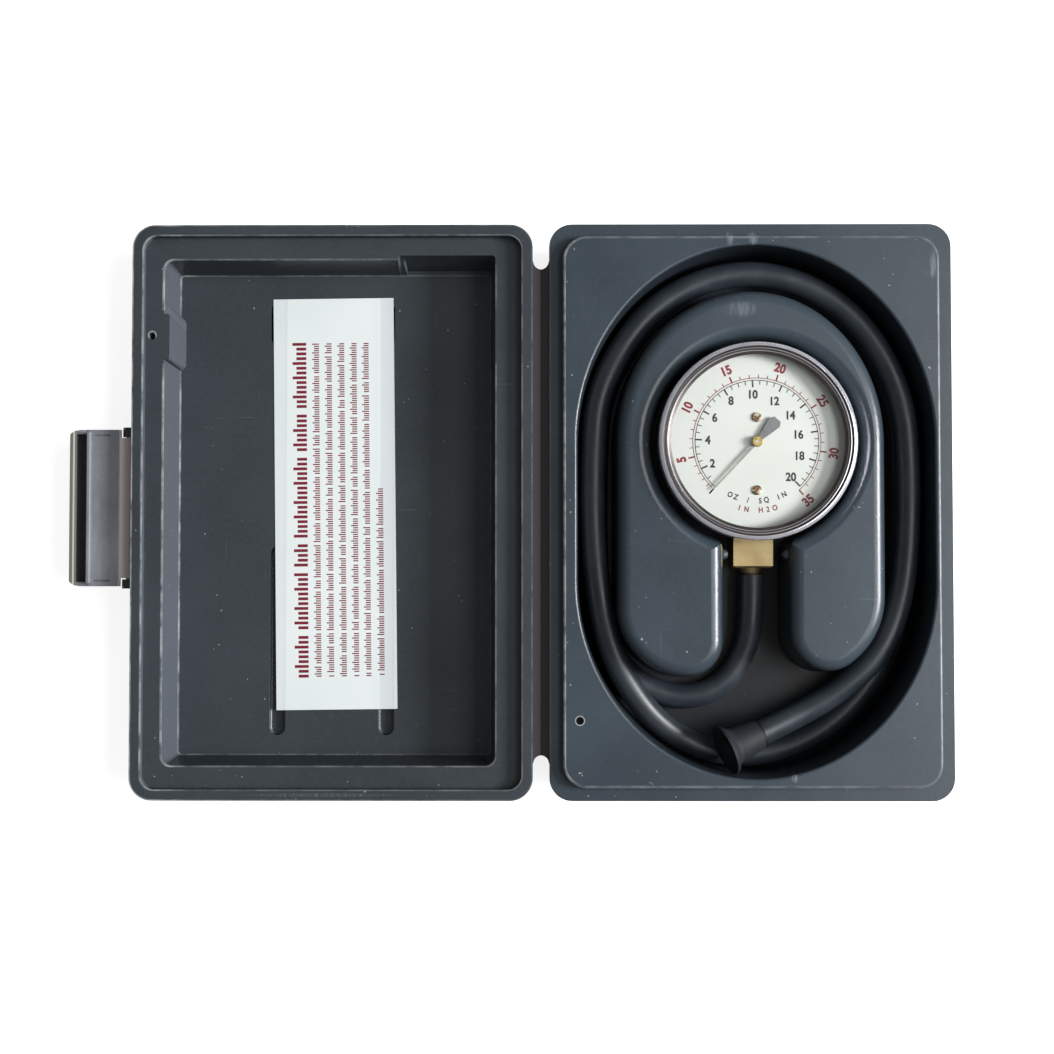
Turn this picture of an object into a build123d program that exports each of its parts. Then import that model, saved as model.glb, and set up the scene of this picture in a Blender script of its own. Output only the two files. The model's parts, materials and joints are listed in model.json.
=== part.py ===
"""Pressure test gauge in its moulded carrying case, lying open.

Millimetres. The origin is the centre of the base's underside, +Z is up, +X runs away from the
hinge and +Y runs from the hose end of the case to the gauge end. The lid lies open at -X.
"""

from build123d import *
import math
import os

# Case, the same for both halves
CASE_WIDTH = 141.0
CASE_LENGTH = 202.0
CASE_DEPTH = 28.0
CASE_CORNER_R = 8.0
SEAM_GAP = 0.3
FLANGE_THICK = 2.85
FLANGE_OVERHANG = 2.8
FLANGE_EDGE_R = 0.7
WALL_DRAFT = 3.0
BOTTOM_EDGE_R = 4.5

# Living hinge
HINGE_STRIP_WIDTH = 5.8
HINGE_END_MARGIN = 13.0
HINGE_LEAF_THICK = 0.8
HINGE_LEAF_SAG = 1.1
HINGE_LEAF_ROOT = 0.3
HINGE_FOLD_GAP = 0.2
HINGE_NOTCH_R = 2.7

# Base: raised deck and the oval hose channel, set in from the deck's edges
DECK_INSET = 4.8
DECK_RISE = 3.65
DECK_CORNER_R = 8.3
DECK_EDGE_R = 0.8
CHANNEL_LEFT_RIM = 4.8
CHANNEL_RIGHT_RIM = 2.0
CHANNEL_END_RIM = 3.2
CHANNEL_STRAIGHT = 48.0
CHANNEL_FLOOR = 4.0
CHANNEL_FLOOR_R = 3.0
CHANNEL_EDGE_R = 0.9
INNER_DRAFT = 3.0
BASE_VENT_D = 2.8
BASE_VENT_INSET = (5.8, 23.3)
VENT_DEPTH = 5.0

# Island: a soft ring round the gauge, two lobes and the slot between them
CAVITY_CLEARANCE = 2.1
CAVITY_FLOOR = 3.0
CAVITY_FLOOR_STEP = 0.6
CAVITY_CORNER_R = 4.6
CAVITY_FLARE = 4.9
CAVITY_FLARE_DEPTH = 7.0
ISLAND_SIDE_WALL = 9.8
ISLAND_TOP_WALL = 16.4
ISLAND_EDGE_R = 4.4
ISLAND_ROOT = 0.5
LEFT_LOBE_OUTER_R = 24.0
LEFT_LOBE_INNER_R = 12.2
LEFT_LOBE_Y = -33.5
RIGHT_LOBE_OUTER_R = 29.0
RIGHT_LOBE_INNER_R = 13.0
RIGHT_LOBE_Y = -29.6
SLOT_LEFT_GAP = 5.0
SLOT_RIGHT_GAP = 4.9
NUB_RADIUS = 1.9
NUB_REACH = 2.4
NUB_FROM_END = 4.6
NUB_LOW = 19.5
NUB_HIGH = 26.3

# Lid: lip, rim step, recess and the grooves in its floor
LIP_WIDTH = 3.9
RIM_DROP = 3.85
RIM_CORNER_R = 5.0
RECESS_NEAR_BAND = 13.2
RECESS_FAR_BAND = 10.4
RECESS_END_BAND = 11.8
RECESS_CORNER_R = 3.5
RECESS_DRAFT = 6.0
LID_FLOOR = 4.5
GROOVE_WIDTH = 5.8
GROOVE_DEPTH = 2.5
GROOVE_FLOOR_R = 0.9
GROOVE_SPACING = 39.4
GROOVE_CENTRE = 75.8
LOW_GROOVE_LENGTH = 68.5
LOW_GROOVE_END_GAP = 9.1
HIGH_GROOVE_LENGTH = 16.0
HIGH_GROOVE_END_GAP = 11.8
LID_VENT_D = 2.4
LID_VENT_INSET = 6.3
BOSS_LENGTH = 16.2
BOSS_END_GAP = 19.0
BOSS_DEPTH = 2.0
BOSS_CORNER_R = 1.0
RELIEF_WIDTH = 34.6
RELIEF_DEPTH = 1.6
RELIEF_CORNER_R = 1.2
LABEL_WIDTH = 43.8
LABEL_THICK = 0.25
LABEL_TOP_CLEARANCE = 8.5
LABEL_LOW_CLEARANCE = 16.3
LABEL_CENTRE = 74.8
LABEL_TILT = 0.7

# Latch on the lid's outer edge: barrel, plate, hook, finger groove and lip
LATCH_WIDTH = 55.6
LATCH_Y = 1.5
LATCH_PIVOT_OUT = 2.7
LATCH_PIVOT_Z = 18.5
LATCH_REACH = 20.4
LATCH_WALL = 2.0
LATCH_GRIP_DROP = 3.4
LATCH_CHEEK_THICK = 1.6
LATCH_CHEEK_TOP = 2.0
LATCH_HOOK_THICK = 1.4
LATCH_HOOK_TOP = 4.7
LATCH_HOOK_SET_BACK = 1.0
LATCH_LIP_THICK = 2.2
LATCH_LIP_TOP = 3.2
LATCH_LIP_BULGE = 1.2
LATCH_CORNER_R = 5.0
LATCH_CLEARANCE = 0.3
LATCH_SINK_LENGTH = 5.6
LATCH_SINK_WIDTH = 0.6
LATCH_SINK_INSET = 2.0
LATCH_SINK_DEPTH = 0.9
BARREL_R = 2.3
LATCH_PIN_R = 1.0
PIN_CLEARANCE = 0.06
PIN_INSET = 0.2
LUG_WIDTH = 3.3
LUG_STEP = 0.8
LUG_ROOT = 1.5
KNUCKLE_GAP = 0.4

# Gauge: case, bezel, lens and dial, inwards from the bezel's outer radius
GAUGE_X = 1.8
GAUGE_Y = 24.0
GAUGE_WALL = 0.8
GAUGE_BACK_R = 3.0
GAUGE_RIM_Z = 33.4
GAUGE_WINDOW_CLEARANCE = 0.15
BEZEL_R = 34.5
BEZEL_WALL = 0.75
BEZEL_TOP = 36.5
BEZEL_SKIRT_LOW = 28.0
BEZEL_BAND = 4.4
BEZEL_ROLL_R = 1.4
BEZEL_BEAD_NEAR = 2.1
BEZEL_BEAD_FAR = 3.2
BEZEL_SEAT_GAP = 0.05
BEZEL_LIP = 0.35
CASE_SET_IN = 2.5
FLANGE_CLEARANCE = 0.15
LENS_CLEARANCE = 0.75
LENS_THICK = 1.4
DIAL_CLEARANCE = 0.4
DIAL_THICK = 0.5
DIAL_BACK_Z = 30.0
DIAL_HOLE_R = 1.5
DIAL_SCREW_Y = (8.6, -16.9)
DIAL_SCREW_HEAD_R = 1.7
DIAL_SCREW_R = 0.8
DIAL_SCREW_LENGTH = 2.0

# Pointer and movement
POINTER_ZERO = 42.6
POINTER_SWEEP = 273.7
POINTER_LENGTH = 22.6
POINTER_TAIL = 10.5
POINTER_TAIL_WIDTH = 4.7
POINTER_THICK = 0.3
POINTER_LIFT = 1.1
HUB_R = 1.9
HUB_HEIGHT = 1.1
ARBOR_R = 0.6
BEARING_CLEARANCE = 0.05
MODULE = 0.25
PINION_TEETH = 8
SECTOR_WHEEL_TEETH = 80
SECTOR_FIRST_TOOTH = -7
SECTOR_LAST_TOOTH = 1
BACK_PLATE_LOW = 22.0
PLATE_THICK = 1.0
PLATE_WIDTH = 22.0
PLATE_LENGTH = 34.0
PLATE_CORNER_R = 2.5
PLATE_CENTRE = (-3.0, -4.0)
FRONT_PLATE_LOW = 26.4
PILLAR_R = 1.4
DIAL_POST_R = 1.8
STUD_X = 5.5
STUD_R = 0.45
SECTOR_LOW = 23.6
SECTOR_THICK = 1.0
TAIL_R = 2.7
LINK_LOW = 24.9
LINK_THICK = 0.6
LINK_WIDTH = 1.8
LINK_PIN_R = 0.4
LINK_HOLE_R = 0.55
ROCKER_Y = 9.0
ROCKER_Z = 16.9
ROCKER_SHAFT_R = 0.8
ROCKER_EAR_X = 4.4
ROCKER_EAR_HALF = 1.8
ROCKER_SHAFT_OVERHANG = 1.8
ARM_THICK = 1.2
CAPSULE_R = 20.0
CAPSULE_LOW = 8.3
CAPSULE_HIGH = 15.0
CAPSULE_WAVES = 4
SPRING_START_R = 1.1
SPRING_END_R = 4.6
SPRING_PITCH = 0.55
SPRING_THICK = 0.16
SPRING_WIDTH = 0.7

# Brass socket and the hose that pushes onto it
SOCKET_WIDTH = 14.0
SOCKET_LOW = 5.0
SOCKET_HIGH = 19.0
SOCKET_REACH = 9.2
SOCKET_HEAD_INSET = 8.0
SOCKET_EDGE = 0.6
TONGUE_HALF_WIDTH = 5.0
TONGUE_END = 4.5
CASE_SCREW_X = 3.0
CASE_SCREW_Y = -12.0
BRACKET_HALF_WIDTH = 6.0
BRACKET_SCREW_X = 3.5
BRACKET_SCREW_IN = 3.2
NECK_LENGTH = 2.6
NECK_R = 4.6
NECK_END_R = 3.3
BARB_R = 2.4
BARB_STEP = 0.5
BARB_LENGTH = 6.0
BARB_RINGS = 3
SOCKET_BORE_R = 1.25
HOSE_R = 4.5
HOSE_BORE_R = 2.5
HOSE_BORE_DEPTH = 8.0
ARC_SHARE = 0.45
HOSE_ROUTE = [
    (1.8, -22.3, 12.0),
    (1.8, -34.0, 12.0),
    (0.4, -49.0, 9.4),
    (-9.0, -62.8, 8.7),
    (-24.5, -67.0, 8.7),
    (-41.0, -60.5, 8.7),
    (-52.1, -44.0, 8.7),
    (-54.0, -14.0, 8.7),
    (-53.9, 22.0, 8.7),
    (-51.5, 46.0, 8.7),
    (-32.0, 75.0, 8.7),
    (1.0, 87.2, 8.7),
    (34.5, 75.0, 8.7),
    (54.0, 45.0, 8.7),
    (56.6, 7.0, 8.7),
    (55.2, -30.0, 8.7),
    (47.5, -57.0, 8.7),
    (30.0, -76.5, 8.7),
    (8.5, -86.6, 8.7),
    (-12.5, -86.0, 8.9),
    (-30.5, -76.5, 13.5),
    (-43.0, -61.5, 18.0),
    (-50.5, -44.0, 18.0),
    (-55.0, -14.0, 18.0),
    (-55.2, 20.0, 18.0),
    (-52.9, 46.0, 18.0),
    (-33.0, 76.0, 18.0),
    (0.6, 88.0, 18.0),
    (34.5, 76.0, 18.0),
    (55.2, 45.0, 18.0),
    (57.6, 8.0, 18.0),
    (55.3, -28.0, 18.0),
    (46.8, -50.0, 18.0),
    (32.5, -63.2, 17.2),
    (15.0, -73.5, 16.2),
    (-1.35, -80.5, 20.7),
]

# Rubber boot on the hose's free end
BOOT_GRIP = 6.0
BOOT_LENGTH = 14.4
BOOT_SLEEVE_R = 5.4
BOOT_RIM_R = 9.0
BOOT_RIM_THICK = 1.1
BOOT_BORE_R = 3.0
BOOT_CLEARANCE = 0.1

# Derived places
RIM_Z = CASE_DEPTH - SEAM_GAP / 2
HINGE_X = -(CASE_WIDTH + HINGE_STRIP_WIDTH) / 2
LID_X = 2 * HINGE_X
DECK_Z = RIM_Z + DECK_RISE
STEP_Z = RIM_Z - RIM_DROP
INNER_SLOPE = math.tan(math.radians(INNER_DRAFT))
DECK_HALF_WIDTH = CASE_WIDTH / 2 - DECK_INSET
DECK_HALF_LENGTH = CASE_LENGTH / 2 - DECK_INSET
CHANNEL_X = (CHANNEL_LEFT_RIM - CHANNEL_RIGHT_RIM) / 2
CHANNEL_HALF_WIDTH = DECK_HALF_WIDTH - (CHANNEL_LEFT_RIM + CHANNEL_RIGHT_RIM) / 2
CHANNEL_END_Y = CHANNEL_STRAIGHT / 2
CHANNEL_END_RISE = DECK_HALF_LENGTH - CHANNEL_END_RIM - CHANNEL_END_Y
CAVITY_R = BEZEL_R + CAVITY_CLEARANCE
ISLAND_HALF_WIDTH = CAVITY_R + ISLAND_SIDE_WALL
ISLAND_TOP_RISE = CAVITY_R + ISLAND_TOP_WALL
SLOT_LEFT = GAUGE_X - SOCKET_WIDTH / 2 - SLOT_LEFT_GAP
SLOT_RIGHT = GAUGE_X + SOCKET_WIDTH / 2 + SLOT_RIGHT_GAP
LID_NEAR_X = HINGE_X - HINGE_STRIP_WIDTH / 2
LID_FAR_X = LID_NEAR_X - CASE_WIDTH
RECESS_NEAR_X = LID_NEAR_X - RECESS_NEAR_BAND
RECESS_FAR_X = LID_FAR_X + RECESS_FAR_BAND
RECESS_HALF_LENGTH = CASE_LENGTH / 2 - RECESS_END_BAND
RECESS_FLOOR_HALF = RECESS_HALF_LENGTH - (STEP_Z - LID_FLOOR) * math.tan(math.radians(RECESS_DRAFT))
BOSS_Y = RECESS_HALF_LENGTH - BOSS_END_GAP - BOSS_LENGTH / 2
LATCH_X = LID_FAR_X - LATCH_PIVOT_OUT
LATCH_HOOK_NEAR = 2 * CASE_DEPTH - LATCH_PIVOT_Z - (RIM_Z - FLANGE_THICK) + LATCH_CLEARANCE
LATCH_HOOK_FAR = LATCH_HOOK_NEAR + LATCH_HOOK_THICK
LUG_FAR = LATCH_WIDTH / 2 + LUG_STEP
LUG_NEAR = LUG_FAR - LUG_WIDTH
GAUGE_BACK_Z = CAVITY_FLOOR
GAUGE_CASE_R = BEZEL_R - CASE_SET_IN
GAUGE_FLANGE_R = BEZEL_R - BEZEL_WALL - FLANGE_CLEARANCE
BEZEL_OPENING_R = BEZEL_R - BEZEL_BAND
LENS_R = BEZEL_R - BEZEL_WALL - LENS_CLEARANCE
DIAL_R = GAUGE_CASE_R - GAUGE_WALL - DIAL_CLEARANCE
DIAL_Z = DIAL_BACK_Z + DIAL_THICK
POINTER_Z = DIAL_Z + POINTER_LIFT
PINION_PITCH_R = MODULE * PINION_TEETH / 2
SECTOR_PITCH_R = MODULE * SECTOR_WHEEL_TEETH / 2
SECTOR_X = -(PINION_PITCH_R + SECTOR_PITCH_R)
SECTOR_START = -POINTER_SWEEP * PINION_TEETH / SECTOR_WHEEL_TEETH / 2
TAIL_X = SECTOR_X + TAIL_R * math.cos(math.radians(SECTOR_START))
TAIL_Y = TAIL_R * math.sin(math.radians(SECTOR_START))
SOCKET_MID_Z = (SOCKET_LOW + SOCKET_HIGH) / 2
SOCKET_END = -(BEZEL_R + SOCKET_REACH)
SOCKET_HEAD = SOCKET_HEAD_INSET - GAUGE_CASE_R
NUB_Y = GAUGE_Y + SOCKET_END + NUB_FROM_END


def slab(x, y, width, length, radius, low, high):
    """A flat block with rounded upright corners."""
    outline = Pos(x, y, low) * RectangleRounded(width, length, radius)
    return extrude(outline, amount=high - low)


def block(x0, x1, y0, y1, z0, z1):
    """A plain block between two corners."""
    return Pos((x0 + x1) / 2, (y0 + y1) / 2, (z0 + z1) / 2) * Box(x1 - x0, y1 - y0, z1 - z0)


def post(x, y, radius, low, high):
    """An upright round bar."""
    return Pos(x, y, (low + high) / 2) * Cylinder(radius, high - low)


def polar(centre, radius, degrees):
    """A point on a circle."""
    angle = math.radians(degrees)
    return (centre[0] + radius * math.cos(angle), centre[1] + radius * math.sin(angle))


def top_edges(solid):
    return solid.faces().sort_by(Axis.Z)[-1].edges()


def bottom_edges(solid):
    return solid.faces().sort_by(Axis.Z)[0].edges()


def tub(x):
    """The outer tray that both halves share: drafted walls under an overhanging flange."""
    flange_low = RIM_Z - FLANGE_THICK
    flange = slab(x, 0, CASE_WIDTH, CASE_LENGTH, CASE_CORNER_R, flange_low, RIM_Z)
    flange = fillet(bottom_edges(flange), FLANGE_EDGE_R)
    width = CASE_WIDTH - 2 * FLANGE_OVERHANG
    length = CASE_LENGTH - 2 * FLANGE_OVERHANG
    outline = Pos(x, 0, flange_low) * RectangleRounded(width, length, CASE_CORNER_R - FLANGE_OVERHANG)
    body = extrude(outline, amount=flange_low, dir=(0, 0, -1), taper=WALL_DRAFT)
    body = fillet(bottom_edges(body), BOTTOM_EDGE_R)
    return flange + body


def hinge_leaf(side):
    """Half of the thin moulded strip, sagging towards the fold line. side is -1 on the lid."""
    edge = HINGE_STRIP_WIDTH / 2
    fold = HINGE_FOLD_GAP / 2
    high = RIM_Z - HINGE_FOLD_GAP
    root = edge + FLANGE_EDGE_R + HINGE_LEAF_ROOT
    half_length = CASE_LENGTH / 2 - HINGE_END_MARGIN
    profile = Polyline(
        (fold, high - HINGE_LEAF_SAG),
        (edge, high),
        (root, high),
        (root, high - HINGE_LEAF_THICK),
        (edge, high - HINGE_LEAF_THICK),
        (fold, high - HINGE_LEAF_SAG - HINGE_LEAF_THICK),
        close=True,
    )
    face = Plane.XZ.offset(-half_length) * make_face(profile)
    leaf = extrude(face, amount=2 * half_length)
    for end in (-1, 1):
        leaf -= post(0, end * half_length, HINGE_NOTCH_R, 0, CASE_DEPTH)
    if side < 0:
        leaf = mirror(leaf, Plane.YZ)
    return Pos(HINGE_X, 0, 0) * leaf


def channel_pocket():
    """The oval well for the hose: straight sides with half-ellipse ends."""
    wide = CHANNEL_HALF_WIDTH
    rise = CHANNEL_END_RISE
    top = EllipticalCenterArc((CHANNEL_X, CHANNEL_END_Y), wide, rise, start_angle=0, arc_size=180)
    low = EllipticalCenterArc((CHANNEL_X, -CHANNEL_END_Y), wide, rise, start_angle=180, arc_size=180)
    outline = make_face([top, Line(top @ 1, low @ 0), low, Line(low @ 1, top @ 0)])
    depth = DECK_Z - CHANNEL_FLOOR
    pocket = extrude(Pos(0, 0, DECK_Z) * outline, amount=depth, dir=(0, 0, -1), taper=INNER_DRAFT)
    return fillet(bottom_edges(pocket), CHANNEL_FLOOR_R)


def nose_centres(wall, outer_r, inner_r, y):
    """Centres of the two tangent arcs of a lobe's nose, for a lobe on the right."""
    big = (ISLAND_HALF_WIDTH - outer_r, y)
    across = wall + inner_r - big[0]
    down = math.sqrt((outer_r - inner_r) ** 2 - across**2)
    return big, (wall + inner_r, y - down)


def lobe(wall, outer_r, inner_r, y):
    """One leg of the island on the right: a straight slot wall and a nose of two tangent arcs."""
    big, small = nose_centres(wall, outer_r, inner_r, y)
    meet = math.degrees(math.atan2(small[1] - big[1], small[0] - big[0]))
    start = (ISLAND_HALF_WIDTH, GAUGE_Y)
    corner = polar(big, outer_r, 0)
    joint = polar(big, outer_r, meet)
    foot = polar(small, inner_r, -180)
    outline = [
        Line(start, corner),
        ThreePointArc(corner, polar(big, outer_r, meet / 2), joint),
        ThreePointArc(joint, polar(small, inner_r, (meet - 180) / 2), foot),
        Line(foot, (wall, GAUGE_Y)),
        Line((wall, GAUGE_Y), start),
    ]
    return make_face(outline)


def keyhole():
    """The round well for the gauge and the slot for its socket, opening between the lobes."""
    outline = Pos(GAUGE_X, GAUGE_Y) * Circle(CAVITY_R)
    slot_length = CASE_LENGTH / 2
    slot_x = (SLOT_RIGHT + SLOT_LEFT) / 2
    slot = Rectangle(SLOT_RIGHT - SLOT_LEFT, slot_length)
    outline += Pos(slot_x, GAUGE_Y - slot_length / 2) * slot
    reach = GAUGE_Y - CAVITY_R
    corners = outline.vertices().filter_by(lambda v: v.Y > reach - 1)
    outline = Pos(0, 0, DECK_Z) * fillet(corners, CAVITY_CORNER_R)
    depth = DECK_Z - CHANNEL_FLOOR + 2 * ISLAND_ROOT
    return extrude(outline, amount=depth, dir=(0, 0, -1), taper=INNER_DRAFT) + extrude(outline, amount=1)


def cavity_flare():
    """The soft bowl that widens the gauge's well at its top, a quarter ellipse turned round it."""
    low = DECK_Z - CAVITY_FLARE_DEPTH
    wall = CAVITY_R - CAVITY_FLARE_DEPTH * INNER_SLOPE
    top = DECK_Z + 1
    outer = wall + CAVITY_FLARE
    bowl = EllipticalCenterArc((outer, low), CAVITY_FLARE, CAVITY_FLARE_DEPTH, start_angle=90, arc_size=90)
    outline = [
        bowl,
        Line((wall, low), (0, low)),
        Line((0, low), (0, top)),
        Line((0, top), (outer, top)),
        Line((outer, top), (outer, DECK_Z)),
    ]
    return at_gauge(revolve(Plane.XZ * make_face(outline), Axis.Z))


def island():
    """The raised middle: a soft ring round the gauge with two lobes, and a slot between them."""
    left = (-SLOT_LEFT, LEFT_LOBE_OUTER_R, LEFT_LOBE_INNER_R, LEFT_LOBE_Y)
    right = (SLOT_RIGHT, RIGHT_LOBE_OUTER_R, RIGHT_LOBE_INNER_R, RIGHT_LOBE_Y)
    outline = Pos(0, GAUGE_Y) * Ellipse(ISLAND_HALF_WIDTH, ISLAND_TOP_RISE)
    outline += mirror(lobe(*left), Plane.YZ) + lobe(*right)
    between = Pos((SLOT_LEFT + SLOT_RIGHT) / 2, GAUGE_Y - CASE_LENGTH / 4)
    outline -= between * Rectangle(SLOT_RIGHT - SLOT_LEFT, CASE_LENGTH / 2)
    height = DECK_Z - CHANNEL_FLOOR + ISLAND_ROOT
    body = extrude(Pos(0, 0, DECK_Z) * outline, amount=height, dir=(0, 0, -1), taper=-INNER_DRAFT)
    body = fillet(top_edges(body), ISLAND_EDGE_R)
    return body - keyhole() - cavity_flare()


def slot_nubs():
    """Two domed pips on the slot walls that keep the socket central."""
    pips = []
    for wall, side in ((SLOT_LEFT, 1), (SLOT_RIGHT, -1)):
        x = wall + side * (NUB_REACH - NUB_RADIUS)
        pip = post(x, NUB_Y, NUB_RADIUS, NUB_LOW, NUB_HIGH)
        pip = fillet(top_edges(pip), NUB_RADIUS * 0.75)
        low, high = sorted((x, wall - side))
        root_top = NUB_HIGH - NUB_RADIUS
        root = block(low, high, NUB_Y - NUB_RADIUS, NUB_Y + NUB_RADIUS, NUB_LOW, root_top)
        pips.append(pip + root)
    return pips


def base_shell():
    shell = tub(0) + hinge_leaf(1)
    deck = slab(0, 0, 2 * DECK_HALF_WIDTH, 2 * DECK_HALF_LENGTH, DECK_CORNER_R, RIM_Z - 1, DECK_Z)
    shell += fillet(top_edges(deck), DECK_EDGE_R)
    shell -= channel_pocket()
    rim = shell.faces().sort_by(Axis.Z)[-1].inner_wires()[0].edges()
    shell = fillet(rim, CHANNEL_EDGE_R)
    shell += island()
    well_r = CAVITY_R - (DECK_Z - CHANNEL_FLOOR) * INNER_SLOPE - CAVITY_FLOOR_STEP
    shell -= post(GAUGE_X, GAUGE_Y, well_r, CAVITY_FLOOR, CHANNEL_FLOOR + 1)
    for pip in slot_nubs():
        shell += pip
    vent_x = BASE_VENT_INSET[0] - DECK_HALF_WIDTH
    vent_y = BASE_VENT_INSET[1] - DECK_HALF_LENGTH
    shell -= post(vent_x, vent_y, BASE_VENT_D / 2, DECK_Z - VENT_DEPTH, DECK_Z + 1)
    return shell


def latch_lug(side):
    """An ear on the lid wall that carries one end of the latch pin."""
    wall_x = LID_FAR_X + FLANGE_OVERHANG + LUG_ROOT
    low = min(side * LUG_NEAR, side * LUG_FAR)
    profile = Polyline(
        (LATCH_X, LATCH_PIVOT_Z + BARREL_R),
        (wall_x, LATCH_PIVOT_Z + BARREL_R),
        (wall_x, LATCH_PIVOT_Z - 2 * BARREL_R),
        (LATCH_X, LATCH_PIVOT_Z - BARREL_R),
        close=True,
    )
    ear = make_face(profile) + Pos(LATCH_X, LATCH_PIVOT_Z) * Circle(BARREL_R)
    ear -= Pos(LATCH_X, LATCH_PIVOT_Z) * Circle(LATCH_PIN_R + PIN_CLEARANCE)
    return Pos(0, LATCH_Y + low + LUG_WIDTH, 0) * extrude(Plane.XZ * ear, amount=LUG_WIDTH)


def lid_pocket():
    """The lid's recess with its drafted walls, the vent boss and the relief beside the hinge."""
    width = RECESS_NEAR_X - RECESS_FAR_X
    centre = (RECESS_NEAR_X + RECESS_FAR_X) / 2
    outline = Pos(centre, 0) * RectangleRounded(width, 2 * RECESS_HALF_LENGTH, RECESS_CORNER_R)
    relief = RectangleRounded(RELIEF_WIDTH, 2 * (RECESS_CORNER_R + RELIEF_DEPTH), RELIEF_CORNER_R)
    outline += Pos(RECESS_NEAR_X - RELIEF_WIDTH / 2, RECESS_HALF_LENGTH - RECESS_CORNER_R) * relief
    boss = RectangleRounded(2 * BOSS_DEPTH, BOSS_LENGTH, BOSS_CORNER_R)
    outline -= Pos(RECESS_FAR_X, BOSS_Y) * boss
    depth = STEP_Z - LID_FLOOR
    return extrude(Pos(0, 0, STEP_Z) * outline, amount=depth, dir=(0, 0, -1), taper=RECESS_DRAFT)


def floor_groove(length):
    """A round-ended groove along Y, cut down from the lid's floor."""
    outline = Rot(0, 0, 90) * SlotOverall(length, GROOVE_WIDTH)
    groove = extrude(outline, amount=GROOVE_DEPTH + 1)
    return Pos(0, 0, LID_FLOOR - GROOVE_DEPTH) * fillet(bottom_edges(groove), GROOVE_FLOOR_R)


def lid_shell():
    shell = tub(LID_X) + hinge_leaf(-1)
    rim_width = CASE_WIDTH - 2 * LIP_WIDTH
    rim_length = CASE_LENGTH - 2 * LIP_WIDTH
    shell -= slab(LID_X, 0, rim_width, rim_length, RIM_CORNER_R, STEP_Z, RIM_Z + 1)
    shell -= lid_pocket()
    low_y = LOW_GROOVE_END_GAP + LOW_GROOVE_LENGTH / 2 - RECESS_HALF_LENGTH
    high_y = RECESS_HALF_LENGTH - HIGH_GROOVE_END_GAP - HIGH_GROOVE_LENGTH / 2
    for side in (-1, 1):
        x = HINGE_X - GROOVE_CENTRE + side * GROOVE_SPACING / 2
        shell -= Pos(x, low_y, 0) * floor_groove(LOW_GROOVE_LENGTH)
        shell -= Pos(x, high_y, 0) * floor_groove(HIGH_GROOVE_LENGTH)
    vent_x = LID_FAR_X + LID_VENT_INSET
    shell -= post(vent_x, BOSS_Y, LID_VENT_D / 2, STEP_Z - VENT_DEPTH, STEP_Z + 1)
    for side in (-1, 1):
        shell += latch_lug(side)
    return shell


def lid_label():
    top = RECESS_FLOOR_HALF - LABEL_TOP_CLEARANCE
    low = LABEL_LOW_CLEARANCE - RECESS_FLOOR_HALF
    half = (top - low) / 2
    label = block(-LABEL_WIDTH / 2, LABEL_WIDTH / 2, -half, half, 0, LABEL_THICK)
    return Pos(HINGE_X - LABEL_CENTRE, (top + low) / 2, LID_FLOOR) * Rot(0, 0, LABEL_TILT) * label


def latch_lip():
    """The free edge, straight at its top and bowed out below so that a finger can pull it."""
    half = LATCH_WIDTH / 2
    near = LATCH_LIP_THICK - LATCH_REACH
    ends = []
    for height, bulge in ((-LATCH_GRIP_DROP, LATCH_LIP_BULGE), (LATCH_LIP_TOP, 0.05)):
        outline = [
            Line((near, -half), (near, half)),
            Line((near, half), (-LATCH_REACH, half)),
            ThreePointArc((-LATCH_REACH, half), (-LATCH_REACH - bulge, 0), (-LATCH_REACH, -half)),
            Line((-LATCH_REACH, -half), (near, -half)),
        ]
        ends.append(Pos(0, 0, height) * make_face(outline))
    return loft(ends)


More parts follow.
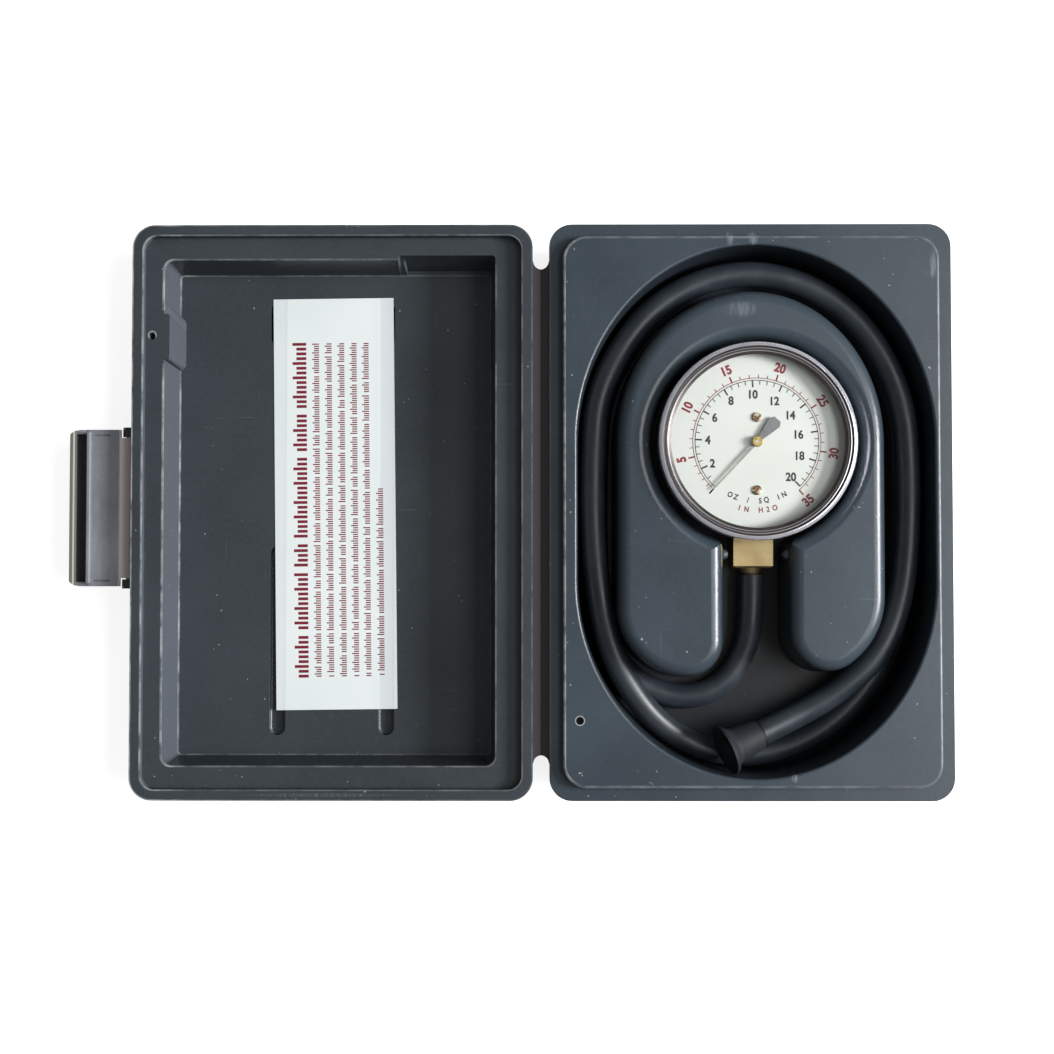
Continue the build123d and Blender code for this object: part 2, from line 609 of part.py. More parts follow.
def latch():
    """One moulding, drawn about its pivot: barrel, plate, hook, finger groove and bowed lip."""
    half = LATCH_WIDTH / 2
    floor_top = LATCH_WALL - LATCH_GRIP_DROP
    section = Polyline(
        (0, BARREL_R),
        (-LATCH_HOOK_FAR, BARREL_R),
        (-LATCH_HOOK_FAR, floor_top),
        (1 - LATCH_REACH, floor_top),
        (1 - LATCH_REACH, -LATCH_GRIP_DROP),
        (-LATCH_HOOK_NEAR, -LATCH_GRIP_DROP),
        (-LATCH_HOOK_NEAR, BARREL_R - LATCH_WALL),
        (0, BARREL_R - LATCH_WALL),
        close=True,
    )
    body = Pos(0, half, 0) * extrude(Plane.XZ * make_face(section), amount=LATCH_WIDTH)
    body += latch_lip()
    hook_half = half - LATCH_HOOK_SET_BACK
    hook = block(-LATCH_HOOK_FAR, -LATCH_HOOK_NEAR, -hook_half, hook_half, 0, LATCH_HOOK_TOP)
    body += chamfer(top_edges(hook), 0.3)
    for side in (-1, 1):
        low, high = sorted((side * (half - LATCH_CHEEK_THICK), side * half))
        body += block(-LATCH_REACH, -LATCH_HOOK_NEAR, low, high, -LATCH_GRIP_DROP, LATCH_CHEEK_TOP)
        low, high = sorted((side * (LUG_NEAR - KNUCKLE_GAP), side * LUG_FAR))
        body -= block(-BARREL_R - KNUCKLE_GAP, 1, low, high, -LATCH_GRIP_DROP, LATCH_HOOK_TOP)
        sink_y = side * (half - LATCH_SINK_INSET)
        sink = Pos(-LATCH_HOOK_NEAR + 0.8 + LATCH_SINK_LENGTH / 2, sink_y, BARREL_R - LATCH_SINK_DEPTH)
        body -= sink * extrude(SlotOverall(LATCH_SINK_LENGTH, LATCH_SINK_WIDTH), amount=2)
    reach = LATCH_REACH + LATCH_LIP_BULGE
    plan = extrude(Pos(0, 0, -5) * RectangleRounded(2 * reach, LATCH_WIDTH, LATCH_CORNER_R), amount=12)
    body &= plan
    barrel_length = 2 * (LUG_NEAR - KNUCKLE_GAP)
    body += Rot(90, 0, 0) * Cylinder(BARREL_R, barrel_length)
    body -= Rot(90, 0, 0) * Cylinder(LATCH_PIN_R + PIN_CLEARANCE, LATCH_WIDTH + 2)
    return Pos(LATCH_X, LATCH_Y, LATCH_PIVOT_Z) * body


def latch_pin():
    length = 2 * (LUG_FAR - PIN_INSET)
    pin = Pos(LATCH_X, LATCH_Y, LATCH_PIVOT_Z) * Rot(90, 0, 0) * Cylinder(LATCH_PIN_R, length)
    return chamfer(pin.edges().filter_by(GeomType.CIRCLE), 0.25)


def at_gauge(solid):
    return Pos(GAUGE_X, GAUGE_Y, 0) * solid


def turned(points):
    """A solid of revolution about the gauge axis from a closed outline of radius and height."""
    return revolve(Plane.XZ * make_face(Polyline(*points, close=True)), Axis.Z)


def gauge_case():
    """A drawn steel cup with a turned-out rim and a window in its wall for the socket."""
    cup = post(0, 0, GAUGE_CASE_R, GAUGE_BACK_Z, GAUGE_RIM_Z)
    cup = fillet(bottom_edges(cup), GAUGE_BACK_R)
    cup += post(0, 0, GAUGE_FLANGE_R, GAUGE_RIM_Z - GAUGE_WALL, GAUGE_RIM_Z)
    well = post(0, 0, GAUGE_CASE_R - GAUGE_WALL, GAUGE_BACK_Z + GAUGE_WALL, GAUGE_RIM_Z + 1)
    cup -= fillet(bottom_edges(well), GAUGE_BACK_R - GAUGE_WALL)
    gap = GAUGE_WINDOW_CLEARANCE
    half = SOCKET_WIDTH / 2 + gap
    cup -= block(-half, half, -GAUGE_FLANGE_R, -CAPSULE_R, SOCKET_LOW - gap, SOCKET_HIGH + gap)
    for x in (-CASE_SCREW_X, CASE_SCREW_X):
        cup -= Pos(x, CASE_SCREW_Y, GAUGE_BACK_Z + 0.5) * Cone(2.05, 1.05, 1.0)
    return at_gauge(cup)


def bezel():
    """A spun ring: outer skirt, rolled crown, a fine groove and a cone down to the lens."""
    inner = BEZEL_R - BEZEL_WALL
    seat = GAUGE_RIM_Z + LENS_THICK + BEZEL_SEAT_GAP
    shoulder = (BEZEL_R, BEZEL_TOP - BEZEL_ROLL_R)
    crown = (BEZEL_R - BEZEL_ROLL_R, BEZEL_TOP)
    groove = (BEZEL_R - BEZEL_BEAD_NEAR, BEZEL_TOP - 0.6)
    bead = (BEZEL_R - (BEZEL_BEAD_NEAR + BEZEL_BEAD_FAR) / 2, BEZEL_TOP - 0.35)
    cone = (BEZEL_R - BEZEL_BEAD_FAR, BEZEL_TOP - 0.7)
    outline = [
        Line((inner, BEZEL_SKIRT_LOW), (BEZEL_R, BEZEL_SKIRT_LOW)),
        Line((BEZEL_R, BEZEL_SKIRT_LOW), shoulder),
        ThreePointArc(shoulder, (BEZEL_R - 0.4, BEZEL_TOP - 0.4), crown),
        Line(crown, groove),
        ThreePointArc(groove, bead, cone),
        Line(cone, (BEZEL_OPENING_R, seat + BEZEL_LIP)),
        Line((BEZEL_OPENING_R, seat + BEZEL_LIP), (BEZEL_OPENING_R, seat)),
        Line((BEZEL_OPENING_R, seat), (inner, seat)),
        Line((inner, seat), (inner, BEZEL_SKIRT_LOW)),
    ]
    return at_gauge(revolve(Plane.XZ * make_face(outline), Axis.Z))


def lens():
    return at_gauge(post(0, 0, LENS_R, GAUGE_RIM_Z, GAUGE_RIM_Z + LENS_THICK))


def dial():
    plate = post(0, 0, DIAL_R, DIAL_BACK_Z, DIAL_Z)
    plate -= post(0, 0, DIAL_HOLE_R, DIAL_BACK_Z - 1, DIAL_Z + 1)
    for y in DIAL_SCREW_Y:
        plate -= post(0, y, DIAL_SCREW_R + 0.1, DIAL_BACK_Z - 1, DIAL_Z + 1)
    return at_gauge(plate)


def dial_screws():
    screws = []
    for y in DIAL_SCREW_Y:
        head = post(0, y, DIAL_SCREW_HEAD_R, DIAL_Z, DIAL_Z + 0.8)
        head = fillet(top_edges(head), 0.5)
        head -= block(-DIAL_SCREW_HEAD_R, DIAL_SCREW_HEAD_R, y - 0.25, y + 0.25, DIAL_Z + 0.4, DIAL_Z + 1)
        shank = post(0, y, DIAL_SCREW_R, DIAL_Z - DIAL_SCREW_LENGTH, DIAL_Z)
        screws.append(at_gauge(head + shank))
    return Compound(children=screws)


def pointer():
    """A thin needle with a spade-shaped counterweight, laid along -Y and turned to zero."""
    outline = Polyline(
        (-0.25, -POINTER_LENGTH),
        (0.25, -POINTER_LENGTH),
        (0.55, 0),
        (POINTER_TAIL_WIDTH / 2, POINTER_TAIL - 1.6),
        (POINTER_TAIL_WIDTH / 2 - 0.9, POINTER_TAIL),
        (0.9 - POINTER_TAIL_WIDTH / 2, POINTER_TAIL),
        (-POINTER_TAIL_WIDTH / 2, POINTER_TAIL - 1.6),
        (-0.55, 0),
        close=True,
    )
    blade = make_face(outline) + Circle(HUB_R - 0.3) - Circle(ARBOR_R + 0.02)
    plate = extrude(Pos(0, 0, POINTER_Z) * blade, amount=POINTER_THICK)
    return at_gauge(Rot(0, 0, -POINTER_ZERO) * plate)


def pointer_hub():
    low = POINTER_Z + POINTER_THICK
    hub = chamfer(top_edges(post(0, 0, HUB_R, low, low + HUB_HEIGHT)), 0.35)
    return at_gauge(hub - post(0, 0, ARBOR_R + 0.02, low - 1, low + HUB_HEIGHT + 1))


def tooth(root_r, tip_r):
    """One straight-sided tooth pointing along +X."""
    root_half = 0.8 * MODULE
    tip_half = 0.3 * MODULE
    inside = root_r - 0.15
    low_side = [(inside, -root_half), (tip_r, -tip_half)]
    high_side = [(tip_r, tip_half), (inside, root_half)]
    return make_face(Polyline(*low_side, *high_side, close=True))


def pinion():
    """The arbor that carries the pointer, with its pinion cut near the back plate."""
    root_r = PINION_PITCH_R - 1.2 * MODULE
    tip_r = PINION_PITCH_R + 0.8 * MODULE
    wheel = Circle(root_r)
    step = 360 / PINION_TEETH
    for count in range(PINION_TEETH):
        wheel += Rot(0, 0, 180 + step * (count + 0.5)) * tooth(root_r, tip_r)
    low = SECTOR_LOW - 0.2
    gear = extrude(Pos(0, 0, low) * wheel, amount=SECTOR_THICK + 0.4)
    arbor_top = POINTER_Z + POINTER_THICK + HUB_HEIGHT - 0.1
    return at_gauge(gear + post(0, 0, ARBOR_R, BACK_PLATE_LOW + 0.3, arbor_top))


def sector_gear():
    """The toothed quadrant on its own arbor, with the pin that the link pulls."""
    root_r = SECTOR_PITCH_R - 1.2 * MODULE
    tip_r = SECTOR_PITCH_R + 0.8 * MODULE
    step = 360 / SECTOR_WHEEL_TEETH
    first = step * SECTOR_FIRST_TOOTH - step / 2
    last = step * SECTOR_LAST_TOOTH + step / 2
    outline = [
        Line((0, 0), polar((0, 0), root_r, first)),
        ThreePointArc(
            polar((0, 0), root_r, first),
            polar((0, 0), root_r, (first + last) / 2),
            polar((0, 0), root_r, last),
        ),
        Line(polar((0, 0), root_r, last), (0, 0)),
    ]
    blade = make_face(outline) + Circle(1.8)
    for count in range(SECTOR_FIRST_TOOTH, SECTOR_LAST_TOOTH + 1):
        blade += Rot(0, 0, step * count) * tooth(root_r, tip_r)
    plate = extrude(Pos(0, 0, SECTOR_LOW) * blade, amount=SECTOR_THICK)
    plate += post(0, 0, ARBOR_R, BACK_PLATE_LOW + 0.2, FRONT_PLATE_LOW + PLATE_THICK - 0.2)
    plate = Pos(SECTOR_X, 0, 0) * plate
    plate += post(TAIL_X, TAIL_Y, LINK_PIN_R, SECTOR_LOW, LINK_LOW + LINK_THICK + 0.2)
    return at_gauge(plate)


def link():
    """The flat drag link from the rocker's pin to the sector's pin."""
    length = ROCKER_Y - TAIL_Y
    bar = Rot(0, 0, 90) * SlotCenterToCenter(length, LINK_WIDTH)
    bar = Pos(TAIL_X, (ROCKER_Y + TAIL_Y) / 2) * bar
    for y in (TAIL_Y, ROCKER_Y):
        bar -= Pos(TAIL_X, y) * Circle(LINK_HOLE_R)
    return at_gauge(extrude(Pos(0, 0, LINK_LOW) * bar, amount=LINK_THICK))


def rocker():
    """The cross shaft: one arm rides on the capsule, the other drives the link."""
    low = TAIL_X - ROCKER_SHAFT_OVERHANG - ARM_THICK
    high = ROCKER_EAR_X + ROCKER_SHAFT_OVERHANG
    shaft = Rot(0, 90, 0) * Cylinder(ROCKER_SHAFT_R, high - low)
    shaft = Pos((low + high) / 2, ROCKER_Y, ROCKER_Z) * shaft
    half = ARM_THICK / 2
    rider = block(-1.2, 1.2, -1.6, ROCKER_Y, ROCKER_Z - half, ROCKER_Z + half)
    rider -= post(0, 0, 0.62, ROCKER_Z - 2, ROCKER_Z + 2)
    driver = block(TAIL_X - half, TAIL_X + half, ROCKER_Y - half, ROCKER_Y + half, ROCKER_Z, LINK_LOW - 0.7)
    pin = post(TAIL_X, ROCKER_Y, LINK_PIN_R, LINK_LOW - 1, LINK_LOW + LINK_THICK + 0.2)
    return at_gauge(shaft + rider + driver + pin)


def adjusting_screw():
    """The small screw in the rider arm that touches the capsule's button."""
    screw = post(0, 0, 0.6, CAPSULE_HIGH + 0.8, ROCKER_Z + 1.2)
    return at_gauge(screw + post(0, 0, 0.95, ROCKER_Z + 0.65, ROCKER_Z + 1.4))


def capsule():
    """Two corrugated diaphragms soldered at the rim, with an inlet boss and a centre button."""
    middle = (CAPSULE_LOW + CAPSULE_HIGH) / 2
    half = (CAPSULE_HIGH - CAPSULE_LOW) / 2
    count = 2 * CAPSULE_WAVES + 1
    start = 4.0
    step = (CAPSULE_R - 1.5 - start) / count
    upper = [(0, middle + half), (start, middle + half)]
    for index in range(1, count + 1):
        crest = half if index % 2 == 0 else half - 1.0
        upper.append((start + step * index, middle + crest))
    upper += [(CAPSULE_R - 1.2, middle + 0.5), (CAPSULE_R, middle + 0.5)]
    lower = [(r, 2 * middle - z) for r, z in reversed(upper)]
    body = turned(upper + lower)
    body += post(0, 0, 3.0, CAPSULE_LOW - 0.8, CAPSULE_LOW + 0.5)
    body += post(0, 0, 2.5, CAPSULE_HIGH - 0.5, CAPSULE_HIGH + 0.7)
    return at_gauge(body)


def plate_outline():
    return Pos(*PLATE_CENTRE) * RectangleRounded(PLATE_WIDTH, PLATE_LENGTH, PLATE_CORNER_R)


def movement_bracket():
    """The back plate, with a stepped foot on the socket and two ears for the rocker."""
    high = BACK_PLATE_LOW + PLATE_THICK
    half = BRACKET_HALF_WIDTH
    plate_end = PLATE_CENTRE[1] - PLATE_LENGTH / 2
    plate = extrude(Pos(0, 0, BACK_PLATE_LOW) * plate_outline(), amount=PLATE_THICK)
    plate += block(-half, half, SOCKET_HEAD - PLATE_THICK, plate_end + 1, BACK_PLATE_LOW, high)
    plate += block(-half, half, SOCKET_HEAD - PLATE_THICK, SOCKET_HEAD, SOCKET_HIGH, high)
    foot_end = SOCKET_HEAD - 2 * BRACKET_SCREW_IN + 0.4
    foot = block(-half, half, foot_end, SOCKET_HEAD, SOCKET_HIGH, SOCKET_HIGH + PLATE_THICK)
    for x in (-BRACKET_SCREW_X, BRACKET_SCREW_X):
        foot -= post(x, SOCKET_HEAD - BRACKET_SCREW_IN, 0.9, SOCKET_HIGH - 1, SOCKET_HIGH + 2)
    plate += foot
    bearing_r = ARBOR_R + BEARING_CLEARANCE
    plate -= post(0, 0, bearing_r, BACK_PLATE_LOW - 1, high + 1)
    plate -= post(SECTOR_X, 0, bearing_r, BACK_PLATE_LOW - 1, high + 1)
    plate -= block(TAIL_X - 1.1, TAIL_X + 1.1, ROCKER_Y - 1.2, ROCKER_Y + 2.4, BACK_PLATE_LOW - 1, high + 1)
    shaft_hole = Rot(0, 90, 0) * Cylinder(ROCKER_SHAFT_R + BEARING_CLEARANCE, 2 * PLATE_WIDTH)
    shaft_hole = Pos(0, ROCKER_Y, ROCKER_Z) * shaft_hole
    for x in (TAIL_X - 2 * ARM_THICK, ROCKER_EAR_X):
        near = ROCKER_Y - ROCKER_EAR_HALF
        far = ROCKER_Y + ROCKER_EAR_HALF
        ear = block(x, x + PLATE_THICK, near, far, ROCKER_Z - 1.4, BACK_PLATE_LOW + PLATE_THICK / 2)
        plate += ear - shaft_hole
    return at_gauge(plate)


def front_plate():
    """The front plate, with the two short posts that the dial is screwed to."""
    plate = extrude(Pos(0, 0, FRONT_PLATE_LOW) * plate_outline(), amount=PLATE_THICK)
    bearing_r = ARBOR_R + BEARING_CLEARANCE
    for x in (0, SECTOR_X):
        plate -= post(x, 0, bearing_r, FRONT_PLATE_LOW - 1, FRONT_PLATE_LOW + PLATE_THICK + 1)
    for y in DIAL_SCREW_Y:
        plate += post(0, y, DIAL_POST_R, FRONT_PLATE_LOW + PLATE_THICK, DIAL_BACK_Z)
        hole_low = DIAL_Z - DIAL_SCREW_LENGTH - 0.2
        plate -= post(0, y, DIAL_SCREW_R + BEARING_CLEARANCE, hole_low, DIAL_Z)
    plate += post(STUD_X, 0, STUD_R, FRONT_PLATE_LOW - 1.2, FRONT_PLATE_LOW + 0.2)
    return at_gauge(plate)


def movement_pillars():
    low = BACK_PLATE_LOW + PLATE_THICK
    pillars = [at_gauge(post(0, y, PILLAR_R, low, FRONT_PLATE_LOW)) for y in DIAL_SCREW_Y]
    return Compound(children=pillars)


def hairspring():
    """A flat spiral of half-circle arcs, from beside the arbor out to the stud."""
    low = FRONT_PLATE_LOW - 1.1
    radius = SPRING_START_R
    arcs = []
    centre = 0.0
    side = 1
    while radius < SPRING_END_R:
        start = (centre + side * radius, 0)
        end = (centre - side * radius, 0)
        arcs.append(ThreePointArc(start, (centre, side * radius), end))
        centre = centre + side * SPRING_PITCH / 2
        radius = radius + SPRING_PITCH / 2
        side = -side
    spring = None
    for arc in arcs:
        turn = extrude(Pos(0, 0, low) * trace(arc, SPRING_THICK), amount=SPRING_WIDTH)
        spring = turn if spring is None else spring + turn
    return at_gauge(spring)


def case_screws():
    """Two flush screws that hold the socket's tongue to the back of the gauge case."""
    screws = []
    for x in (-CASE_SCREW_X, CASE_SCREW_X):
        head = Pos(x, CASE_SCREW_Y, GAUGE_BACK_Z + 0.4) * Cone(1.9, 1.1, 0.7)
        shank = post(x, CASE_SCREW_Y, 1.0, GAUGE_BACK_Z + 0.7, GAUGE_BACK_Z + 3.8)
        screws.append(at_gauge(head + shank))
    return Compound(children=screws)


def bracket_screws():
    screws = []
    y = SOCKET_HEAD - BRACKET_SCREW_IN
    low = SOCKET_HIGH + PLATE_THICK
    for x in (-BRACKET_SCREW_X, BRACKET_SCREW_X):
        head = fillet(top_edges(post(x, y, 1.5, low, low + 0.9)), 0.4)
        screws.append(at_gauge(head + post(x, y, 0.85, SOCKET_HIGH - 2, low)))
    return Compound(children=screws)


def socket():
    """One brass piece: the square block, the tongue inside the case, the neck and the barb."""
    half = SOCKET_WIDTH / 2
    body = block(-half, half, SOCKET_END, SOCKET_HEAD, SOCKET_LOW, SOCKET_HIGH)
    body = chamfer(body.faces().sort_by(Axis.Y)[0].edges(), SOCKET_EDGE)
    tongue = TONGUE_HALF_WIDTH
    tongue_low = GAUGE_BACK_Z + GAUGE_WALL
    body += block(-tongue, tongue, SOCKET_HEAD - 1, TONGUE_END, tongue_low, CAPSULE_LOW - 0.8)
    for x in (-CASE_SCREW_X, CASE_SCREW_X):
        body -= post(x, CASE_SCREW_Y, 1.05, GAUGE_BACK_Z, GAUGE_BACK_Z + 4.0)
    for x in (-BRACKET_SCREW_X, BRACKET_SCREW_X):
        body -= post(x, SOCKET_HEAD - BRACKET_SCREW_IN, 0.9, SOCKET_HIGH - 2.2, SOCKET_HIGH + 1)
    neck_end = SOCKET_END - NECK_LENGTH
    neck = Rot(90, 0, 0) * Cone(NECK_R, NECK_END_R, NECK_LENGTH)
    body += Pos(0, SOCKET_END - NECK_LENGTH / 2, SOCKET_MID_Z) * neck
    pitch = BARB_LENGTH / BARB_RINGS
    for count in range(BARB_RINGS):
        ring = Rot(90, 0, 0) * Cone(BARB_R, BARB_R - BARB_STEP, pitch)
        body += Pos(0, neck_end - pitch * (count + 0.5), SOCKET_MID_Z) * ring
    bore_length = BARB_LENGTH + NECK_LENGTH + SOCKET_WIDTH
    bore_y = neck_end - BARB_LENGTH + bore_length / 2
    body -= Pos(0, bore_y, SOCKET_MID_Z) * Rot(90, 0, 0) * Cylinder(SOCKET_BORE_R, bore_length + 0.02)
    return at_gauge(body)


def route_radii(points):
    """Arc radius at each inner point: a share of the shorter run over the tangent of half the turn."""
    radii = []
    for before, here, after in zip(points, points[1:], points[2:]):
        run_in = Vector(*here) - Vector(*before)
        run_out = Vector(*after) - Vector(*here)
        half_turn = math.radians(run_in.get_angle(run_out)) / 2
        radii.append(ARC_SHARE * min(run_in.length, run_out.length) / math.tan(half_turn))
    return radii


def hose():
    """The whole hose along its real route, with a short bore at each end."""
    radii = route_radii(HOSE_ROUTE)
    print("hose radii:", [round(r, 1) for r in radii])
    path = FilletPolyline(*HOSE_ROUTE, radius=radii)
    start = Plane(origin=path @ 0, z_dir=path % 0)
    tube = sweep(start * Circle(HOSE_R), path=path)
    print("hose length:", round(path.length, 1), "volume error:",
          round(tube.volume / (math.pi * HOSE_R**2 * path.length) - 1, 5))
    finish = Plane(origin=path @ 1, z_dir=-(path % 1))
    for plane in (start, finish):
        tube -= extrude(plane * Circle(HOSE_BORE_R), amount=HOSE_BORE_DEPTH)
    return tube


def hose_boot():
    """A rubber sleeve over the hose end that flares into a bell, turned about the hose's last run."""
    end = Vector(*HOSE_ROUTE[-1])
    along = (end - Vector(*HOSE_ROUTE[-2])).normalized()
    grip_r = HOSE_R + BOOT_CLEARANCE
    flare = BOOT_LENGTH - 3.4
    outline = [
        Line((grip_r, 0), (BOOT_SLEEVE_R, 0)),
        Line((BOOT_SLEEVE_R, 0), (BOOT_SLEEVE_R + 0.9, flare - 2)),
        ThreePointArc(
            (BOOT_SLEEVE_R + 0.9, flare - 2),
            (BOOT_SLEEVE_R + 1.5, flare + 0.6),
            (BOOT_RIM_R, BOOT_LENGTH - BOOT_RIM_THICK),
        ),
        Line((BOOT_RIM_R, BOOT_LENGTH - BOOT_RIM_THICK), (BOOT_RIM_R, BOOT_LENGTH)),
        Line((BOOT_RIM_R, BOOT_LENGTH), (BOOT_RIM_R - 0.7, BOOT_LENGTH)),
        ThreePointArc(
            (BOOT_RIM_R - 0.7, BOOT_LENGTH),
            (BOOT_BORE_R + 2.6, BOOT_LENGTH - 1.9),
            (BOOT_BORE_R + 1.0, BOOT_LENGTH - 4.6),
        ),
        Line((BOOT_BORE_R + 1.0, BOOT_LENGTH - 4.6), (BOOT_BORE_R, BOOT_LENGTH - 6.0)),
        Line((BOOT_BORE_R, BOOT_LENGTH - 6.0), (BOOT_BORE_R, BOOT_GRIP)),
        Line((BOOT_BORE_R, BOOT_GRIP), (grip_r, BOOT_GRIP)),
        Line((grip_r, BOOT_GRIP), (grip_r, 0)),
    ]
    bell = revolve(Plane.XZ * make_face(outline), Axis.Z)
    return Plane(origin=end - along * BOOT_GRIP, z_dir=along) * bell


PARTS = {
    "base_shell": base_shell,
    "lid_shell": lid_shell,
    "lid_label": lid_label,
    "latch": latch,
    "latch_pin": latch_pin,
    "gauge_case": gauge_case,
    "bezel": bezel,
    "lens": lens,
    "dial": dial,
    "dial_screws": dial_screws,
    "pointer": pointer,
    "pointer_hub": pointer_hub,
    "pinion": pinion,
    "sector_gear": sector_gear,
    "link": link,
    "rocker": rocker,
    "adjusting_screw": adjusting_screw,
    "hairspring": hairspring,
    "capsule": capsule,
    "movement_bracket": movement_bracket,
    "front_plate": front_plate,
    "movement_pillars": movement_pillars,
    "bracket_screws": bracket_screws,
    "case_screws": case_screws,
    "socket": socket,
    "hose": hose,
    "hose_boot": hose_boot,
}

os.makedirs("parts", exist_ok=True)
for name, make in PARTS.items():
    export_step(make(), f"parts/{name}.step")
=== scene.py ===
"""Looks for the pressure test gauge in its open case. Metres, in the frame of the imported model."""

import json
import math

import bmesh
import bpy
from mathutils import Matrix, Vector


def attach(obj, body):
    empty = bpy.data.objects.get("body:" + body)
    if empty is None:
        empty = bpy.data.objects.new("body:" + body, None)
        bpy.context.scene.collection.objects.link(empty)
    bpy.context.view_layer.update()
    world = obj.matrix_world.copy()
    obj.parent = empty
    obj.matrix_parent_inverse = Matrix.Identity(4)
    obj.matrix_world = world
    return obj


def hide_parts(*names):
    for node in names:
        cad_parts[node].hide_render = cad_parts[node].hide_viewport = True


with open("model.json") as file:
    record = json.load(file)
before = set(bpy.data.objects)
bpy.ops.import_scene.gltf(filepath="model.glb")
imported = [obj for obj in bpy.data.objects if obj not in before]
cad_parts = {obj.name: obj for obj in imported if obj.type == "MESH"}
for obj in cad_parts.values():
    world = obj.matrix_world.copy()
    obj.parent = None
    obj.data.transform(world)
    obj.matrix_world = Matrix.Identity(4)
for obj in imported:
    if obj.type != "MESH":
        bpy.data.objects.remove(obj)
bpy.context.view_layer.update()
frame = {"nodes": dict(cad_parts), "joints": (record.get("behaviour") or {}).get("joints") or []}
nodes = frame["nodes"]
scene = bpy.context.scene
scene.view_settings.view_transform = "Standard"

MM = 0.001


def box(name):
    """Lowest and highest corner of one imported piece."""
    places = [vertex.co for vertex in nodes[name].data.vertices]
    lowest = Vector([min(place[way] for place in places) for way in range(3)])
    highest = Vector([max(place[way] for place in places) for way in range(3)])
    return lowest, highest


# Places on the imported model

JOINTS = {joint["name"]: joint for joint in frame["joints"]}
HINGE = Vector(JOINTS["lid_hinge"]["pos_m"])
LATCH = Vector(JOINTS["latch_pivot"]["pos_m"])
GAUGE = Vector((*JOINTS["pointer_turn"]["pos_m"][:2], 0.0))
DIAL_TOP = box("dial")[1].z
CASE_CORNER = box("base_shell")[1]
LABEL_LOW, LABEL_HIGH = box("lid_label")
LABEL_CENTRE = Vector((*(LABEL_LOW + LABEL_HIGH).xy / 2, LABEL_HIGH.z))
LABEL_TILT = math.radians(0.7)
LID_X = 2 * HINGE.x
RECESS_X = LID_X - 1.4 * MM
GROOVES = (-168.9 * MM, -129.5 * MM)
GROOVE_HALF = (2.2 * MM, 3.1 * MM)
BOOT_START = Vector((4.0, -78.2, 19.2)) * MM
BOOT_AXIS = Vector((-0.891, -0.381, 0.245))
SLEEVE_SHADE_LINE = (0.9 * MM, 1.1 * MM)


# Camera

EYE = Vector((-73.4, -27.6, 640.0)) * MM
PICTURE_PX = 1054.0
FOCAL_PX = 1751.0
AIM_X_PX = -14.0
AIM_Y_PX = 63.0
SENSOR = 36.0
FORWARD = Vector((AIM_X_PX / FOCAL_PX, AIM_Y_PX / FOCAL_PX, -1.0)).normalized()
RIGHT = FORWARD.cross(Vector((0.0, 1.0, 0.0))).normalized()
UP = RIGHT.cross(FORWARD)

lens_data = bpy.data.cameras.new("camera")
lens_data.sensor_width = SENSOR
lens_data.lens = FOCAL_PX / PICTURE_PX * SENSOR
lens_data.clip_start = 0.01
camera = bpy.data.objects.new("camera", lens_data)
scene.collection.objects.link(camera)
camera.matrix_world = Matrix.Translation(EYE) @ Matrix((RIGHT, UP, -FORWARD)).transposed().to_4x4()
scene.camera = camera


# Hose, its route in millimetres

HOSE_RADIUS = 4.5 * MM
HOSE_ROUTE = [
    (1.8, -22.3, 12.0),
    (1.8, -34.0, 12.0),
    (0.4, -49.0, 9.4),
    (-9.0, -62.8, 8.7),
    (-24.5, -67.0, 8.7),
    (-41.0, -60.5, 8.7),
    (-52.1, -44.0, 8.7),
    (-54.0, -14.0, 8.7),
    (-53.9, 22.0, 8.7),
    (-51.5, 46.0, 8.7),
    (-32.0, 75.0, 8.7),
    (1.0, 87.2, 8.7),
    (34.5, 75.0, 8.7),
    (54.0, 45.0, 8.7),
    (56.6, 7.0, 8.7),
    (55.2, -30.0, 8.7),
    (47.5, -57.0, 8.7),
    (30.0, -76.5, 8.7),
    (8.5, -86.6, 8.7),
    (-12.5, -86.0, 8.9),
    (-30.5, -76.5, 13.5),
    (-43.0, -61.5, 18.0),
    (-50.5, -44.0, 18.0),
    (-55.0, -14.0, 18.0),
    (-55.2, 20.0, 18.0),
    (-52.9, 46.0, 18.0),
    (-33.0, 76.0, 18.0),
    (0.6, 88.0, 18.0),
    (34.5, 76.0, 18.0),
    (55.2, 45.0, 18.0),
    (57.6, 8.0, 18.0),
    (55.3, -28.0, 18.0),
    (46.8, -50.0, 18.0),
    (32.5, -63.2, 17.2),
    (15.0, -73.5, 16.2),
    (-1.35, -80.5, 20.7),
]

hose_curve = bpy.data.curves.new("hose_tube", "CURVE")
hose_curve.dimensions = "3D"
route = hose_curve.splines.new("NURBS")
route.points.add(len(HOSE_ROUTE) - 1)
for point, place in zip(route.points, HOSE_ROUTE):
    point.co = (place[0] * MM, place[1] * MM, place[2] * MM, 1.0)
    point.radius = HOSE_RADIUS
route.order_u = 3
route.use_endpoint_u = True
hose_curve.resolution_u = 24
hose_curve.bevel_depth = 1.0
hose_curve.bevel_resolution = 10
hose_curve.use_fill_caps = True
hose = bpy.data.objects.new("hose_tube", hose_curve)
scene.collection.objects.link(hose)
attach(hose, "base")
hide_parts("hose")


# Materials


